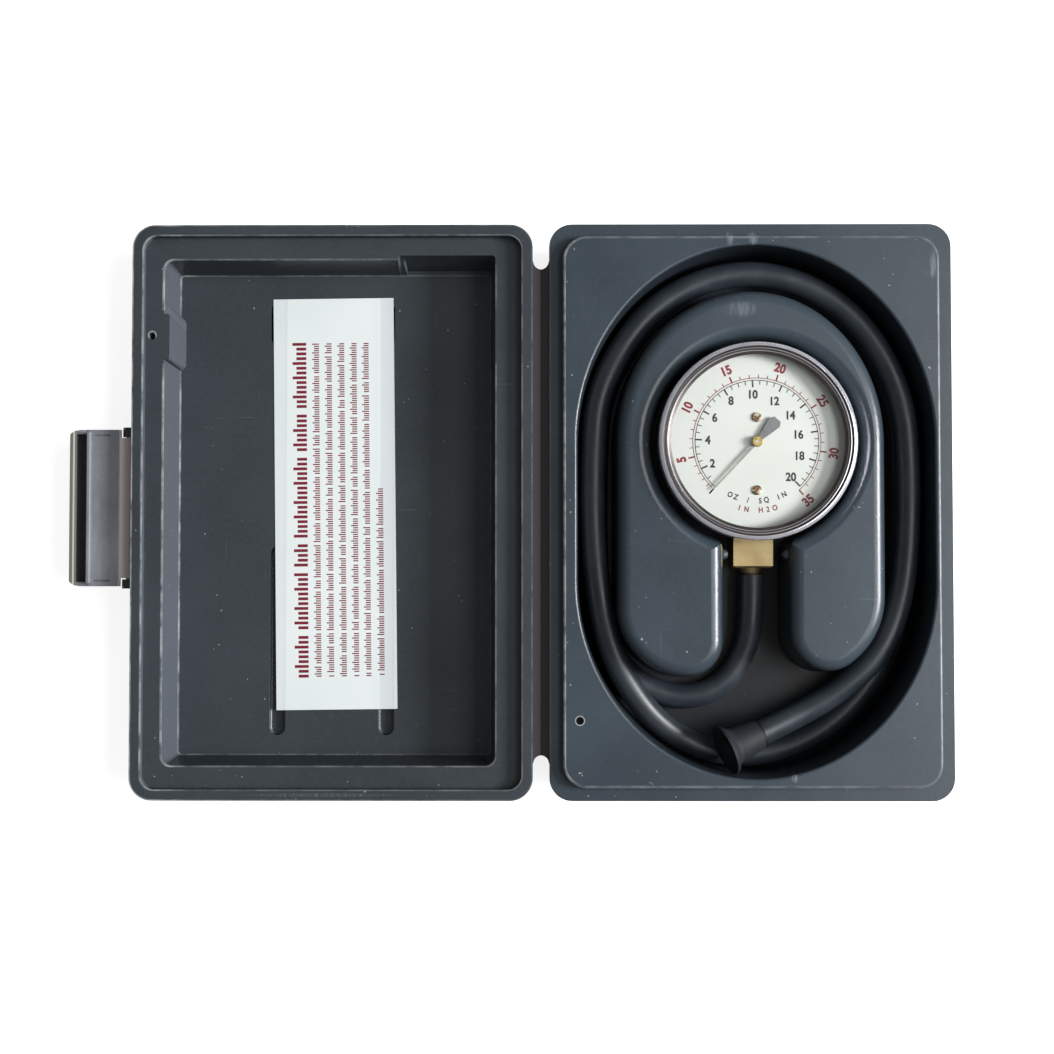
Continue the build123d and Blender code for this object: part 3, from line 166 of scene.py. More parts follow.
class Paint:
    """A node tree builder for one procedural material."""

    def __init__(self, name):
        self.material = bpy.data.materials.new(name)
        self.material.use_nodes = True
        self.tree = self.material.node_tree
        self.shader = self.tree.nodes["Principled BSDF"]
        coordinates = self.add("ShaderNodeTexCoord")
        self.place = coordinates.outputs["Object"]
        self.facing = coordinates.outputs["Normal"]

    def add(self, kind, **settings):
        node = self.tree.nodes.new(kind)
        for key, value in settings.items():
            setattr(node, key, value)
        return node

    def link(self, source, target):
        self.tree.links.new(source, target)

    def put(self, value, socket):
        if isinstance(value, bpy.types.NodeSocket):
            self.link(value, socket)
        else:
            socket.default_value = value

    def set(self, **values):
        for key, value in values.items():
            self.put(value, self.shader.inputs[key.replace("_", " ")])

    def noise(self, scale, detail=4.0, roughness=0.55, stretch=(1, 1, 1)):
        mapping = self.add("ShaderNodeMapping")
        mapping.inputs["Scale"].default_value = stretch
        self.link(self.place, mapping.inputs["Vector"])
        node = self.add("ShaderNodeTexNoise")
        self.link(mapping.outputs["Vector"], node.inputs["Vector"])
        node.inputs["Scale"].default_value = scale
        node.inputs["Detail"].default_value = detail
        node.inputs["Roughness"].default_value = roughness
        return node.outputs["Fac"]

    def ramp(self, value, low, high, start=0.0, end=1.0):
        node = self.add("ShaderNodeMapRange")
        node.clamp = True
        self.put(value, node.inputs["Value"])
        for index, number in enumerate((low, high, start, end)):
            node.inputs[index + 1].default_value = number
        return node.outputs["Result"]

    def math(self, operation, first, second=0.0):
        node = self.add("ShaderNodeMath", operation=operation)
        self.put(first, node.inputs[0])
        self.put(second, node.inputs[1])
        return node.outputs[0]

    def mix(self, factor, first, second):
        node = self.add("ShaderNodeMix", data_type="RGBA")
        self.put(factor, node.inputs["Factor"])
        self.put(first, node.inputs["A"])
        self.put(second, node.inputs["B"])
        return node.outputs["Result"]

    def bump(self, height, strength, distance):
        node = self.add("ShaderNodeBump")
        node.inputs["Strength"].default_value = strength
        node.inputs["Distance"].default_value = distance
        self.put(height, node.inputs["Height"])
        self.link(node.outputs["Normal"], self.shader.inputs["Normal"])

    def axis(self, name, source=None):
        node = self.add("ShaderNodeSeparateXYZ")
        self.link(source or self.place, node.inputs["Vector"])
        return node.outputs[name]

    def away(self, name, middle):
        """Distance from a middle along one axis, to either side."""
        return self.math("ABSOLUTE", self.math("SUBTRACT", self.axis(name), middle))

    def squares(self, across, along):
        """Sum of two squares."""
        squared = [self.math("MULTIPLY", part, part) for part in (across, along)]
        return self.math("ADD", *squared)

    def product(self, *values):
        """All the values multiplied together."""
        result = values[0]
        for value in values[1:]:
            result = self.math("MULTIPLY", result, value)
        return result

    def highest(self, values):
        """The largest of the values."""
        result = values[0]
        for value in values[1:]:
            result = self.math("MAXIMUM", result, value)
        return result


def rgb(red, green, blue):
    """A colour as it shows on screen, 0 to 255, turned into scene values."""
    parts = (red, green, blue)
    return tuple(((c / 255 + 0.055) / 1.055) ** 2.4 if c > 10 else c / 3294 for c in parts) + (1.0,)


PEBBLE_TINT = rgb(70, 78, 84)
SCUFF_TINT = rgb(120, 125, 130)
SMUDGE_AND_HIGHLIGHT_TINT = rgb(140, 148, 158)
WORN_EDGE_AND_HIGHLIGHT_TINT = rgb(176, 180, 182)
SPECK_TINT = rgb(180, 185, 185)
HINGE_TINT = rgb(38, 32, 36)
PAINTED_DEPTH_SHADE_TINT = rgb(18, 20, 24)
PAINTED_WALL_SHADE_TINT = rgb(24, 28, 33)
PAINTED_WALL_LIGHT_TINT = rgb(122, 128, 140)
STRIP_EDGE = (2.8 * MM, 3.1 * MM)
DEPTH_SHADE_RANGE = (4 * MM, 20 * MM)
EDGE_BLUR = 0.15 * MM
HEIGHT_BLUR = 0.2 * MM
EDGE_FADE = 8 * MM
VENT_RIM = 0.15 * MM
VENT_LINE = (0.1 * MM, 0.3 * MM)
SMUDGE_FROM = (22 * MM, 28 * MM)


def rim_distance(paint, centre_x, half_x, half_y, radius):
    """Distance in plan from a rounded rectangle, negative inside it."""
    across = paint.math("SUBTRACT", paint.away("X", centre_x), half_x - radius)
    along = paint.math("SUBTRACT", paint.away("Y", 0.0), half_y - radius)
    out_x = paint.math("MAXIMUM", across, 0.0)
    out_y = paint.math("MAXIMUM", along, 0.0)
    outside = paint.math("SQRT", paint.squares(out_x, out_y))
    inside = paint.math("MINIMUM", paint.math("MAXIMUM", across, along), 0.0)
    return paint.math("SUBTRACT", paint.math("ADD", outside, inside), radius)


def rubbed_edge(paint, centre_x, inset, radius, reach, heights, gap=None):
    """1 along one rounded rectangular edge between two heights, 0 elsewhere and at the boss."""
    half_x, half_y = (half - inset * MM for half in CASE_CORNER.xy)
    distance = rim_distance(paint, centre_x, half_x, half_y, radius * MM)
    reach_in, reach_out = (value * MM for value in reach)
    low, high = (value * MM for value in heights)
    height = paint.axis("Z")
    limits = [
        paint.ramp(distance, -reach_in - EDGE_BLUR, -reach_in),
        paint.ramp(distance, reach_out, reach_out + EDGE_BLUR, 1.0, 0.0),
        paint.ramp(height, low - HEIGHT_BLUR, low),
        paint.ramp(height, high, high + HEIGHT_BLUR, 1.0, 0.0),
    ]
    if gap:
        start, end = (value * MM for value in gap)
        half = (end - start) / 2
        off_gap = paint.away("Y", (start + end) / 2)
        limits.append(paint.ramp(off_gap, half - HEIGHT_BLUR, half + HEIGHT_BLUR))
    return paint.product(*limits)


def vent_ring(paint, x, y, radius):
    """1 on the pale rim of a small vent hole."""
    across = paint.math("SUBTRACT", paint.axis("X"), x * MM)
    along = paint.math("SUBTRACT", paint.axis("Y"), y * MM)
    from_centre = paint.math("SQRT", paint.squares(across, along))
    off_rim = paint.math("ABSOLUTE", paint.math("SUBTRACT", from_centre, radius * MM + VENT_RIM))
    return paint.ramp(off_rim, *VENT_LINE, 0.7, 0.0)


def smudges(paint, spots):
    """Pale marks, each a soft oval of fine streaks along Y, partly rubbed and partly painted highlights
    on dents and creases.
    """
    streaks = paint.ramp(paint.noise(900.0, 3.0, 0.6, (1.0, 0.1, 1.0)), 0.45, 0.7, 0.15, 1.0)
    marks = []
    for x, y, half_x, half_y, strength in spots:
        across = paint.math("DIVIDE", paint.math("SUBTRACT", paint.axis("X"), x * MM), half_x * MM)
        along = paint.math("DIVIDE", paint.math("SUBTRACT", paint.axis("Y"), y * MM), half_y * MM)
        marks.append(paint.ramp(paint.squares(across, along), 0.2, 1.0, strength, 0.0))
    above = paint.ramp(paint.axis("Z"), *SMUDGE_FROM)
    return paint.product(paint.highest(marks), streaks, above)


def moulded(name, dark, light, edges, left, vent, spots, depth_shade, painted_wall_light):
    """Moulded slate plastic: fine pebble, scuffs, specks, edge lines and pale marks partly worn and
    partly painted highlight, painted shade on steep walls and low down, painted light on walls that face
    +X.
    """
    paint = Paint(name)
    broad = paint.noise(22.0, 3.0)
    fine = paint.noise(650.0, 3.0)
    base = paint.mix(paint.ramp(broad, 0.3, 0.7), dark, light)
    base = paint.mix(paint.ramp(fine, 0.35, 0.75, 0.0, 0.25), base, PEBBLE_TINT)
    scratch = paint.noise(900.0, 2.0, 0.5, (0.04, 1.0, 1.0))
    crossing = paint.noise(700.0, 2.0, 0.5, (1.0, 0.05, 1.0))
    lines = paint.math("MAXIMUM", paint.ramp(scratch, 0.70, 0.76), paint.ramp(crossing, 0.71, 0.77))
    patches = paint.ramp(paint.noise(38.0, 2.0), 0.52, 0.7)
    base = paint.mix(paint.product(lines, patches, 0.4), base, SCUFF_TINT)
    # Edge lines and vent rims, partly worn and partly painted highlight, strongest near the left side.
    rims = paint.highest([rubbed_edge(paint, **edge) for edge in edges])
    worn = paint.ramp(paint.noise(160.0, 4.0), 0.35, 0.62, 0.12, 0.75)
    fade = paint.ramp(paint.axis("X"), left, left + EDGE_FADE, 1.0, 0.3)
    wear_and_highlight = paint.math("MAXIMUM", paint.product(rims, worn, fade), vent_ring(paint, *vent))
    # Painted shade: steep walls are mixed up to halfway towards a dark tint.
    upright = paint.math("ABSOLUTE", paint.axis("Z", paint.facing))
    base = paint.mix(paint.ramp(upright, 0.3, 0.7, 0.5, 0.0), base, PAINTED_WALL_SHADE_TINT)
    # Painted light: walls that face +X are mixed towards a paler tint.
    walls = paint.ramp(paint.axis("X", paint.facing), 0.35, 0.6, 0.0, painted_wall_light)
    base = paint.mix(walls, base, PAINTED_WALL_LIGHT_TINT)
    base = paint.mix(smudges(paint, spots), base, SMUDGE_AND_HIGHLIGHT_TINT)
    base = paint.mix(wear_and_highlight, base, WORN_EDGE_AND_HIGHLIGHT_TINT)
    speck = paint.ramp(paint.noise(620.0, 1.0), 0.785, 0.80)
    base = paint.mix(paint.math("MULTIPLY", speck, 0.6), base, SPECK_TINT)
    strip = paint.ramp(paint.away("X", HINGE.x), *STRIP_EDGE, 1.0, 0.0)
    base = paint.mix(strip, base, HINGE_TINT)
    # Painted shade: darker towards the bottom, in the channels and underneath.
    low_shade = paint.ramp(paint.axis("Z"), *DEPTH_SHADE_RANGE, depth_shade, 0.0)
    base = paint.mix(low_shade, base, PAINTED_DEPTH_SHADE_TINT)
    gloss = paint.ramp(broad, 0.3, 0.7, 0.27, 0.35)
    gloss = paint.math("MAXIMUM", gloss, paint.math("MULTIPLY", strip, 0.85))
    paint.set(Base_Color=base, Roughness=gloss, Specular_IOR_Level=0.5)
    pebble = paint.noise(2600.0, 2.0)
    height = paint.math("ADD", pebble, paint.math("MULTIPLY", paint.noise(60.0, 2.0), 2.0))
    paint.bump(height, 0.3, 0.1 * MM)
    return paint.material


def metal(name, colour, dark, roughness, grain=(1, 1, 1), scale=900.0, strength=0.12):
    """Bare metal with uneven tone and fine tool marks along the grain."""
    paint = Paint(name)
    tint = paint.noise(90.0, 4.0)
    streak = paint.noise(scale, 3.0, 0.6, grain)
    paint.set(
        Base_Color=paint.mix(paint.ramp(tint, 0.35, 0.7), colour, dark),
        Metallic=1.0,
        Roughness=paint.ramp(streak, 0.3, 0.7, roughness * 0.75, roughness * 1.35),
    )
    paint.bump(streak, strength, 0.02 * MM)
    return paint.material


def rubber(name, colour, dust, roughness, shine, end_shade_line=False):
    """Black rubber with a dusty film; the boot also has painted shade in a thin dark band where its
    sleeve ends.
    """
    paint = Paint(name)
    film = paint.noise(55.0, 5.0, 0.6)
    grit = paint.noise(1500.0, 2.0)
    base = paint.mix(paint.ramp(film, 0.4, 0.75, 0.0, 0.7), colour, dust)
    # Painted shade: a dark band at the end of the sleeve.
    if end_shade_line:
        along = 0.0
        for letter, start, way in zip("XYZ", BOOT_START, BOOT_AXIS):
            step = paint.math("MULTIPLY", paint.math("SUBTRACT", paint.axis(letter), start), way)
            along = paint.math("ADD", along, step)
        base = paint.mix(paint.ramp(along, *SLEEVE_SHADE_LINE, 1.0, 0.0), base, rgb(4, 4, 5))
    paint.set(Base_Color=base, Roughness=paint.ramp(film, 0.3, 0.7, roughness - 0.06, roughness + 0.08))
    paint.set(Specular_IOR_Level=shine)
    paint.bump(paint.math("ADD", grit, paint.math("MULTIPLY", paint.noise(120.0), 1.5)), 0.25, 0.06 * MM)
    return paint.material


def printed(name, colour, light):
    """Ink that is thin in places."""
    paint = Paint(name)
    fade = paint.noise(1400.0, 3.0)
    paint.set(Base_Color=paint.mix(paint.ramp(fade, 0.45, 0.8, 0.0, 0.5), colour, light), Roughness=0.5)
    paint.bump(fade, 0.1, 0.01 * MM)
    return paint.material


def label_film():
    """White film that sags a little and dips over the two grooves below it, with painted shade along the
    dips.
    """
    paint = Paint("label_film_white")
    height = paint.noise(30.0, 3.0)
    groove_dips = paint.highest([paint.ramp(paint.away("X", at), *GROOVE_HALF, 1.0, 0.0) for at in GROOVES])
    base = paint.mix(paint.ramp(height, 0.3, 0.7), rgb(222, 230, 230), rgb(230, 235, 235))
    # Painted shade: the film is greyed where it dips.
    base = paint.mix(paint.math("MULTIPLY", groove_dips, 0.3), base, rgb(196, 206, 212))
    paint.set(Base_Color=base, Roughness=paint.ramp(height, 0.3, 0.7, 0.34, 0.44))
    paint.bump(paint.math("SUBTRACT", height, paint.math("MULTIPLY", groove_dips, 0.8)), 0.3, 0.2 * MM)
    return paint.material


def enamel():
    """White dial enamel, slightly clouded."""
    paint = Paint("dial_enamel")
    cloud = paint.noise(45.0, 3.0)
    paint.set(Base_Color=paint.mix(paint.ramp(cloud, 0.3, 0.7), rgb(209, 213, 207), rgb(215, 218, 213)))
    paint.set(Roughness=paint.ramp(cloud, 0.3, 0.7, 0.38, 0.46))
    paint.bump(paint.noise(1200.0), 0.05, 0.01 * MM)
    return paint.material


def glass():
    """Clear window with faint smears, which lets light and shadow straight through."""
    paint = Paint("lens_glass")
    smear = paint.noise(40.0, 3.0)
    paint.set(Base_Color=(0.97, 0.985, 0.98, 1.0), Roughness=paint.ramp(smear, 0.5, 0.8, 0.01, 0.04))
    paint.set(Transmission_Weight=1.0, IOR=1.45)
    through = paint.add("ShaderNodeBsdfTransparent")
    path = paint.add("ShaderNodeLightPath")
    blend = paint.add("ShaderNodeMixShader")
    out = paint.tree.nodes["Material Output"]
    clear = paint.math("MAXIMUM", path.outputs["Is Shadow Ray"], path.outputs["Is Diffuse Ray"])
    paint.link(clear, blend.inputs[0])
    paint.link(paint.shader.outputs[0], blend.inputs[1])
    paint.link(through.outputs[0], blend.inputs[2])
    paint.link(blend.outputs[0], out.inputs["Surface"])
    return paint.material


BARREL_EDGE = (LATCH.x - 3.4 * MM, LATCH.x - 2.6 * MM)
LIP_EDGE = (LATCH.x - 18.3 * MM, LATCH.x - 18.0 * MM)
CREST_X = LATCH.x - 19.0 * MM
GROOVE_NEAR = (LATCH.x - 14.5 * MM, LATCH.x - 14.2 * MM)
GROOVE_FAR = (LATCH.x - 18.3 * MM, LATCH.x - 18.1 * MM)
GROOVE_TOP = (LATCH.z + 1.1 * MM, LATCH.z + 1.7 * MM)


def latch_grey():
    """Dull blue-grey plastic with painted glints; pale and warm near the pivot, partly worn and partly
    painted light; a brown tone beyond the lip edge, a painted highlight along its top and painted shade
    in the channel before it.
    """
    paint = Paint("latch_worn_grey")
    broad = paint.noise(45.0, 4.0)
    streak = paint.noise(300.0, 3.0, 0.6, (1.0, 0.12, 1.0))
    base = paint.mix(paint.ramp(broad, 0.3, 0.7), rgb(112, 116, 123), rgb(134, 138, 145))
    base = paint.mix(paint.ramp(streak, 0.5, 0.75, 0.0, 0.4), base, rgb(164, 167, 170))
    # Painted glints: fine pale specks.
    glints = paint.ramp(paint.noise(1500.0, 2.0), 0.62, 0.7, 0.0, 0.45)
    base = paint.mix(glints, base, rgb(176, 180, 184))
    across = paint.axis("X")
    # Pale warm tint near the pivot, partly worn and partly painted light.
    barrel_wear_and_light = paint.ramp(across, *BARREL_EDGE)
    base = paint.mix(paint.math("MULTIPLY", barrel_wear_and_light, 0.9), base, rgb(230, 216, 212))
    lip = paint.ramp(across, *LIP_EDGE, 1.0, 0.0)
    base = paint.mix(paint.math("MULTIPLY", lip, 0.85), base, rgb(112, 106, 98))
    # Painted highlight: a pale line along the top of the lip.
    crest_highlight = paint.ramp(paint.away("X", CREST_X), 0.2 * MM, 0.4 * MM, 0.8, 0.0)
    base = paint.mix(crest_highlight, base, rgb(212, 216, 208))
    # Painted shade in the channel before the lip.
    groove_shade = paint.ramp(paint.axis("Z"), *GROOVE_TOP, 1.0, 0.0)
    before = paint.ramp(across, *GROOVE_NEAR, 1.0, 0.0)
    beyond = paint.ramp(across, *GROOVE_FAR)
    base = paint.mix(paint.product(groove_shade, before, beyond, 0.85), base, rgb(24, 20, 26))
    paint.set(Base_Color=base, Roughness=paint.ramp(broad, 0.3, 0.7, 0.42, 0.56))
    paint.bump(paint.math("ADD", paint.noise(2200.0), streak), 0.25, 0.08 * MM)
    return paint.material


def lacquer():
    """Black lacquer of the gauge's steel cup."""
    paint = Paint("gauge_black_lacquer")
    cloud = paint.noise(60.0, 4.0)
    paint.set(Base_Color=paint.mix(paint.ramp(cloud, 0.3, 0.7), rgb(14, 14, 15), rgb(24, 24, 26)))
    paint.set(Roughness=paint.ramp(cloud, 0.3, 0.7, 0.25, 0.38), Specular_IOR_Level=0.6)
    paint.bump(paint.noise(700.0), 0.12, 0.05 * MM)
    return paint.material


def gauge_radius(paint):
    """Distance from the gauge's axis."""
    x = paint.math("SUBTRACT", paint.axis("X"), GAUGE.x)
    y = paint.math("SUBTRACT", paint.axis("Y"), GAUGE.y)
    return paint.math("SQRT", paint.squares(x, y))


RIM_EDGE = (32.9 * MM, 33.2 * MM)
HIGHLIGHT_RINGS = (31.3 * MM, 32.2 * MM)


def bezel_plate():
    """Bright plating on the rolled rim; inside it a painted dark reflection with two painted highlight
    rings.
    """
    paint = Paint("bezel_chrome_plate")
    radius = gauge_radius(paint)
    cloud = paint.noise(160.0, 4.0, 0.6)
    bright = paint.mix(paint.ramp(cloud, 0.35, 0.7), rgb(238, 238, 245), rgb(214, 214, 226))
    # Painted dark reflection inside the rim, with painted highlight rings.
    dark = paint.mix(paint.ramp(cloud, 0.3, 0.7), rgb(50, 45, 44), rgb(78, 72, 70))
    rim = paint.ramp(radius, *RIM_EDGE)
    shine = [rim]
    for turned in HIGHLIGHT_RINGS:
        off_line = paint.math("ABSOLUTE", paint.math("SUBTRACT", radius, turned))
        shine.append(paint.ramp(off_line, 0.06 * MM, 0.18 * MM, 0.5, 0.0))
    paint.set(Base_Color=paint.mix(paint.highest(shine), dark, bright))
    paint.set(Metallic=paint.ramp(rim, 0.0, 1.0, 0.4, 0.75))
    paint.set(Roughness=paint.ramp(rim, 0.0, 1.0, 0.38, 0.14))
    paint.bump(paint.noise(1400.0), 0.03, 0.02 * MM)
    return paint.material


NEEDLE_START = (1.0 * MM, 2.4 * MM)


def pointer_paint():
    """Bare metal needle with a grey painted tail."""
    paint = Paint("pointer_needle_and_tail")
    out = ray(ZERO_AT)
    x = paint.math("MULTIPLY", paint.math("SUBTRACT", paint.axis("X"), GAUGE.x), out.x)
    y = paint.math("MULTIPLY", paint.math("SUBTRACT", paint.axis("Y"), GAUGE.y), out.y)
    needle = paint.ramp(paint.math("ADD", x, y), *NEEDLE_START)
    cloud = paint.noise(300.0, 3.0)
    tail = paint.mix(paint.ramp(cloud, 0.3, 0.7), rgb(104, 104, 106), rgb(120, 120, 122))
    bare = paint.mix(paint.ramp(cloud, 0.3, 0.7), rgb(138, 138, 134), rgb(166, 166, 160))
    paint.set(Base_Color=paint.mix(needle, tail, bare), Roughness=paint.ramp(cloud, 0.3, 0.7, 0.4, 0.5))
    paint.bump(cloud, 0.05, 0.01 * MM)
    return paint.material


def stained_brass():
    """Small screws, half brass and half stained brown."""
    paint = Paint("screw_brass_stained")
    stain = paint.ramp(paint.noise(420.0, 3.0, 0.6), 0.42, 0.56)
    paint.set(Base_Color=paint.mix(stain, rgb(238, 228, 200), rgb(106, 80, 62)), Metallic=1.0)
    paint.set(Roughness=paint.ramp(stain, 0.0, 1.0, 0.25, 0.45))
    paint.bump(paint.noise(1500.0), 0.15, 0.02 * MM)
    return paint.material


# Angles on the dial, in degrees clockwise from straight down

BLACK_STEP = 14.0
FIRST_BLACK = 64.1
ZERO_AT = 42.6
BLACK_PER_RED = 0.5774


def black_angle(value):
    """Angle of a value on the inner scale, whose first part is closer spaced."""
    if value < 2:
        return ZERO_AT + (FIRST_BLACK - ZERO_AT) * value / 2
    return FIRST_BLACK + BLACK_STEP * (value - 2)


def red_angle(value):
    """Angle of a value on the outer scale, which is the same pressure in the other unit."""
    return black_angle(value * BLACK_PER_RED)


def ray(degrees):
    """Unit direction on the dial."""
    turn = math.radians(-90.0 - degrees)
    return Vector((math.cos(turn), math.sin(turn), 0.0))


brass = metal("brass_machined", rgb(214, 194, 147), rgb(188, 165, 118), 0.38, (1, 14, 1), 500.0, 0.2)
hub_brass = metal("brass_turned", rgb(212, 186, 120), rgb(170, 140, 86), 0.3)
steel = metal("steel_bright", rgb(200, 201, 203), rgb(150, 152, 156), 0.3)

# Edge lines, partly worn and partly painted highlight: centre in metres, then inset, corner radius,
# reach and heights in millimetres

LIP_HEIGHTS = (27.0, 28.2)
BOSS_GAP = (52.5, 71.5)
DECK_EDGE = dict(centre_x=0.0, inset=4.8, radius=8.3, reach=(0.9, 0.1), heights=(30.7, 31.7))
LIP_OUTER_EDGE = dict(centre_x=LID_X, inset=0.0, radius=8.0, reach=(0.4, 0.1), heights=LIP_HEIGHTS)
LIP_INNER_EDGE = dict(centre_x=LID_X, inset=3.9, radius=5.0, reach=(0.1, 0.4), heights=LIP_HEIGHTS)
RECESS_EDGE = dict(
    centre_x=RECESS_X,
    inset=11.8,
    radius=3.5,
    reach=(0.15, 0.45),
    heights=(23.2, 24.2),
    gap=BOSS_GAP,
)
FLOOR_EDGE = dict(
    centre_x=RECESS_X,
    inset=13.8,
    radius=1.5,
    reach=(0.3, 0.1),
    heights=(4.2, 5.4),
    gap=BOSS_GAP,
)

# Pale marks, partly rubbed and partly painted highlights: centre, half width and half length in
# millimetres, then strength

BASE_MARKS = (
    (-7.4, 95.6, 1.6, 3.2, 0.6),
    (0.9, 95.6, 2.2, 3.0, 0.5),
    (-4.3, 70.4, 7.0, 3.2, 0.4),
    (63.4, 86.0, 1.3, 5.5, 0.6),
    (14.3, -92.6, 1.2, 1.8, 0.6),
)
LID_MARKS = (
    (-213.5, 0.0, 0.9, 70.0, 0.3),
    (-150.0, -99.0, 30.0, 0.8, 0.3),
)

LOOKS = {
    "base_shell": moulded(
        "case_slate_base",
        rgb(47, 57, 65),
        rgb(56, 67, 76),
        edges=[DECK_EDGE],
        left=-66 * MM,
        vent=(-59.9, -72.9, 1.4),
        spots=BASE_MARKS,
        depth_shade=0.88,
        painted_wall_light=0.0,
    ),
    "lid_shell": moulded(
        "case_slate_lid",
        rgb(49, 55, 60),
        rgb(57, 64, 69),
        edges=[LIP_OUTER_EDGE, LIP_INNER_EDGE, RECESS_EDGE, FLOOR_EDGE],
        left=-205 * MM,
        vent=(-211.0, 62.6, 1.2),
        spots=LID_MARKS,
        depth_shade=0.0,
        painted_wall_light=0.38,
    ),
    "lid_label": label_film(),
    "latch": latch_grey(),
    "latch_pin": steel,
    "gauge_case": lacquer(),
    "bezel": bezel_plate(),
    "lens": glass(),
    "dial": enamel(),
    "dial_screws": stained_brass(),
    "pointer": pointer_paint(),
    "pointer_hub": hub_brass,
    "pinion": steel,
    "sector_gear": brass,
    "link": steel,
    "rocker": steel,
    "adjusting_screw": brass,
    "hairspring": brass,
    "capsule": brass,
    "movement_bracket": brass,
    "front_plate": brass,
    "movement_pillars": brass,
    "bracket_screws": steel,
    "case_screws": steel,
    "socket": brass,
    "hose_boot": rubber("boot_rubber_matt", rgb(30, 34, 40), rgb(42, 47, 54), 0.66, 0.3, True),
}
for name, material in LOOKS.items():
    mesh = nodes[name].data
    mesh.materials.clear()
    mesh.materials.append(material)

hose_curve.materials.append(rubber("hose_rubber_black", rgb(35, 42, 49), rgb(53, 61, 68), 0.4, 0.5))


# Printed dial

INK = 0.04 * MM
ARC_STEPS = 96
CAPITAL_HEIGHT = 0.72
FINE_LINE = 0.26 * MM
HEAVY_LINE = 0.56 * MM
NUMBER_SQUEEZE = 0.9
SIGN_SQUEEZE = 0.85
SIGN_BOLD = 0.08 * MM
SIGN_HEIGHT = 1.9 * MM
ZERO_MARK = 3.0 * MM
ZERO_LINE = 0.5 * MM

BLACK_ARC = 21.5 * MM
BLACK_TICKS = (2.4 * MM, 1.5 * MM)
BLACK_LINE = 0.3 * MM
BLACK_NUMBER = 2.9 * MM
BLACK_BOLD = 0.15 * MM
BLACK_NUMBER_RADII = {
    2: 17.2, 4: 17.1, 6: 16.9, 8: 16.9, 10: 16.6,
    12: 15.6, 14: 15.1, 16: 14.9, 18: 15.8, 20: 17.0,
}
BLACK_SIGNS_RADIUS = 20.6 * MM
BLACK_SIGNS_SPAN = 27.0
BLACK_END = 20

RED_ARC = 22.3 * MM
RED_START = ZERO_AT + 2.0
RED_TICKS = (2.2 * MM, 1.2 * MM)
RED_LINE = 0.28 * MM
RED_NUMBER = 3.1 * MM
RED_BOLD = 0.2 * MM
RED_NUMBER_RADIUS = 27.0
RED_SIGNS_RADIUS = 23.8 * MM
RED_SIGNS_SPAN = 15.0
RED_END = 35


def add_face(work, corners):
    """Adds a face that looks up."""
    face = work.faces.new(corners)
    face.normal_update()
    if face.normal.z < 0:
        face.normal_flip()


def add_bar(work, degrees, inner, outer, width):
    """Adds a straight mark along one ray of the dial."""
    out = ray(degrees)
    side = Vector((-out.y, out.x, 0.0)) * width / 2
    near = GAUGE + out * inner
    far = GAUGE + out * outer
    corners = [near - side, near + side, far + side, far - side]
    add_face(work, [work.verts.new((c.x, c.y, DIAL_TOP + INK)) for c in corners])


def add_arc(work, start, end, radius, width):
    """Adds a thin arc round the dial's centre."""
    rings = []
    for step in range(ARC_STEPS + 1):
        out = ray(start + (end - start) * step / ARC_STEPS)
        inner = GAUGE + out * (radius - width / 2)
        outer = GAUGE + out * (radius + width / 2)
        rings.append((
            work.verts.new((inner.x, inner.y, DIAL_TOP + INK)),
            work.verts.new((outer.x, outer.y, DIAL_TOP + INK)),
        ))
    for before, after in zip(rings, rings[1:]):
        add_face(work, (before[0], before[1], after[1], after[0]))


def add_text(work, words, centre, turn, height, squeeze, thicken):
    """Adds flat lettering to the dial's print, centred at a point and turned about +Z."""
    text = bpy.data.curves.new("text", "FONT")
    text.body = words
    text.align_x = "CENTER"
    text.align_y = "CENTER"
    text.size = height / CAPITAL_HEIGHT
    text.offset = thicken
    text.resolution_u = 5
    holder = bpy.data.objects.new("text", text)
    scene.collection.objects.link(holder)
    bpy.context.view_layer.update()
    flat = bpy.data.meshes.new_from_object(holder.evaluated_get(bpy.context.evaluated_depsgraph_get()))
    ys = [v.co.y for v in flat.vertices]
    xs = [v.co.x for v in flat.vertices]
    middle = Vector(((min(xs) + max(xs)) / 2, (min(ys) + max(ys)) / 2, 0.0))
    place = Matrix.Translation((centre.x, centre.y, DIAL_TOP + INK)) @ Matrix.Rotation(turn, 4, "Z")
    place = place @ Matrix.Diagonal((squeeze, 1.0, 1.0, 1.0)) @ Matrix.Translation(-middle)
    flat.transform(place)
    work.from_mesh(flat)
    bpy.data.objects.remove(holder)
    bpy.data.curves.remove(text)
    bpy.data.meshes.remove(flat)


def finish_print(work, name, material, body):
    """Turns a mesh in the making into a piece that rides one body."""
    mesh = bpy.data.meshes.new(name)
    work.to_mesh(mesh)
    work.free()
    mesh.materials.append(material)
    piece = bpy.data.objects.new(name, mesh)
    scene.collection.objects.link(piece)
    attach(piece, body)


def add_arc_text(work, words, radius, half_span):
    """Sets small signs one by one along the bottom of the dial, reading from the centre."""
    for count, letter in enumerate(words):
        if letter == " ":
            continue
        at = -half_span + 2 * half_span * count / (len(words) - 1)
        spot = GAUGE + ray(-at) * radius
        add_text(work, letter, spot, math.radians(at), SIGN_HEIGHT, SIGN_SQUEEZE, SIGN_BOLD)


black_ink = printed("dial_black_ink", rgb(9, 10, 13), rgb(27, 29, 33))
red_ink = printed("dial_red_ink", rgb(118, 12, 34), rgb(144, 38, 56))

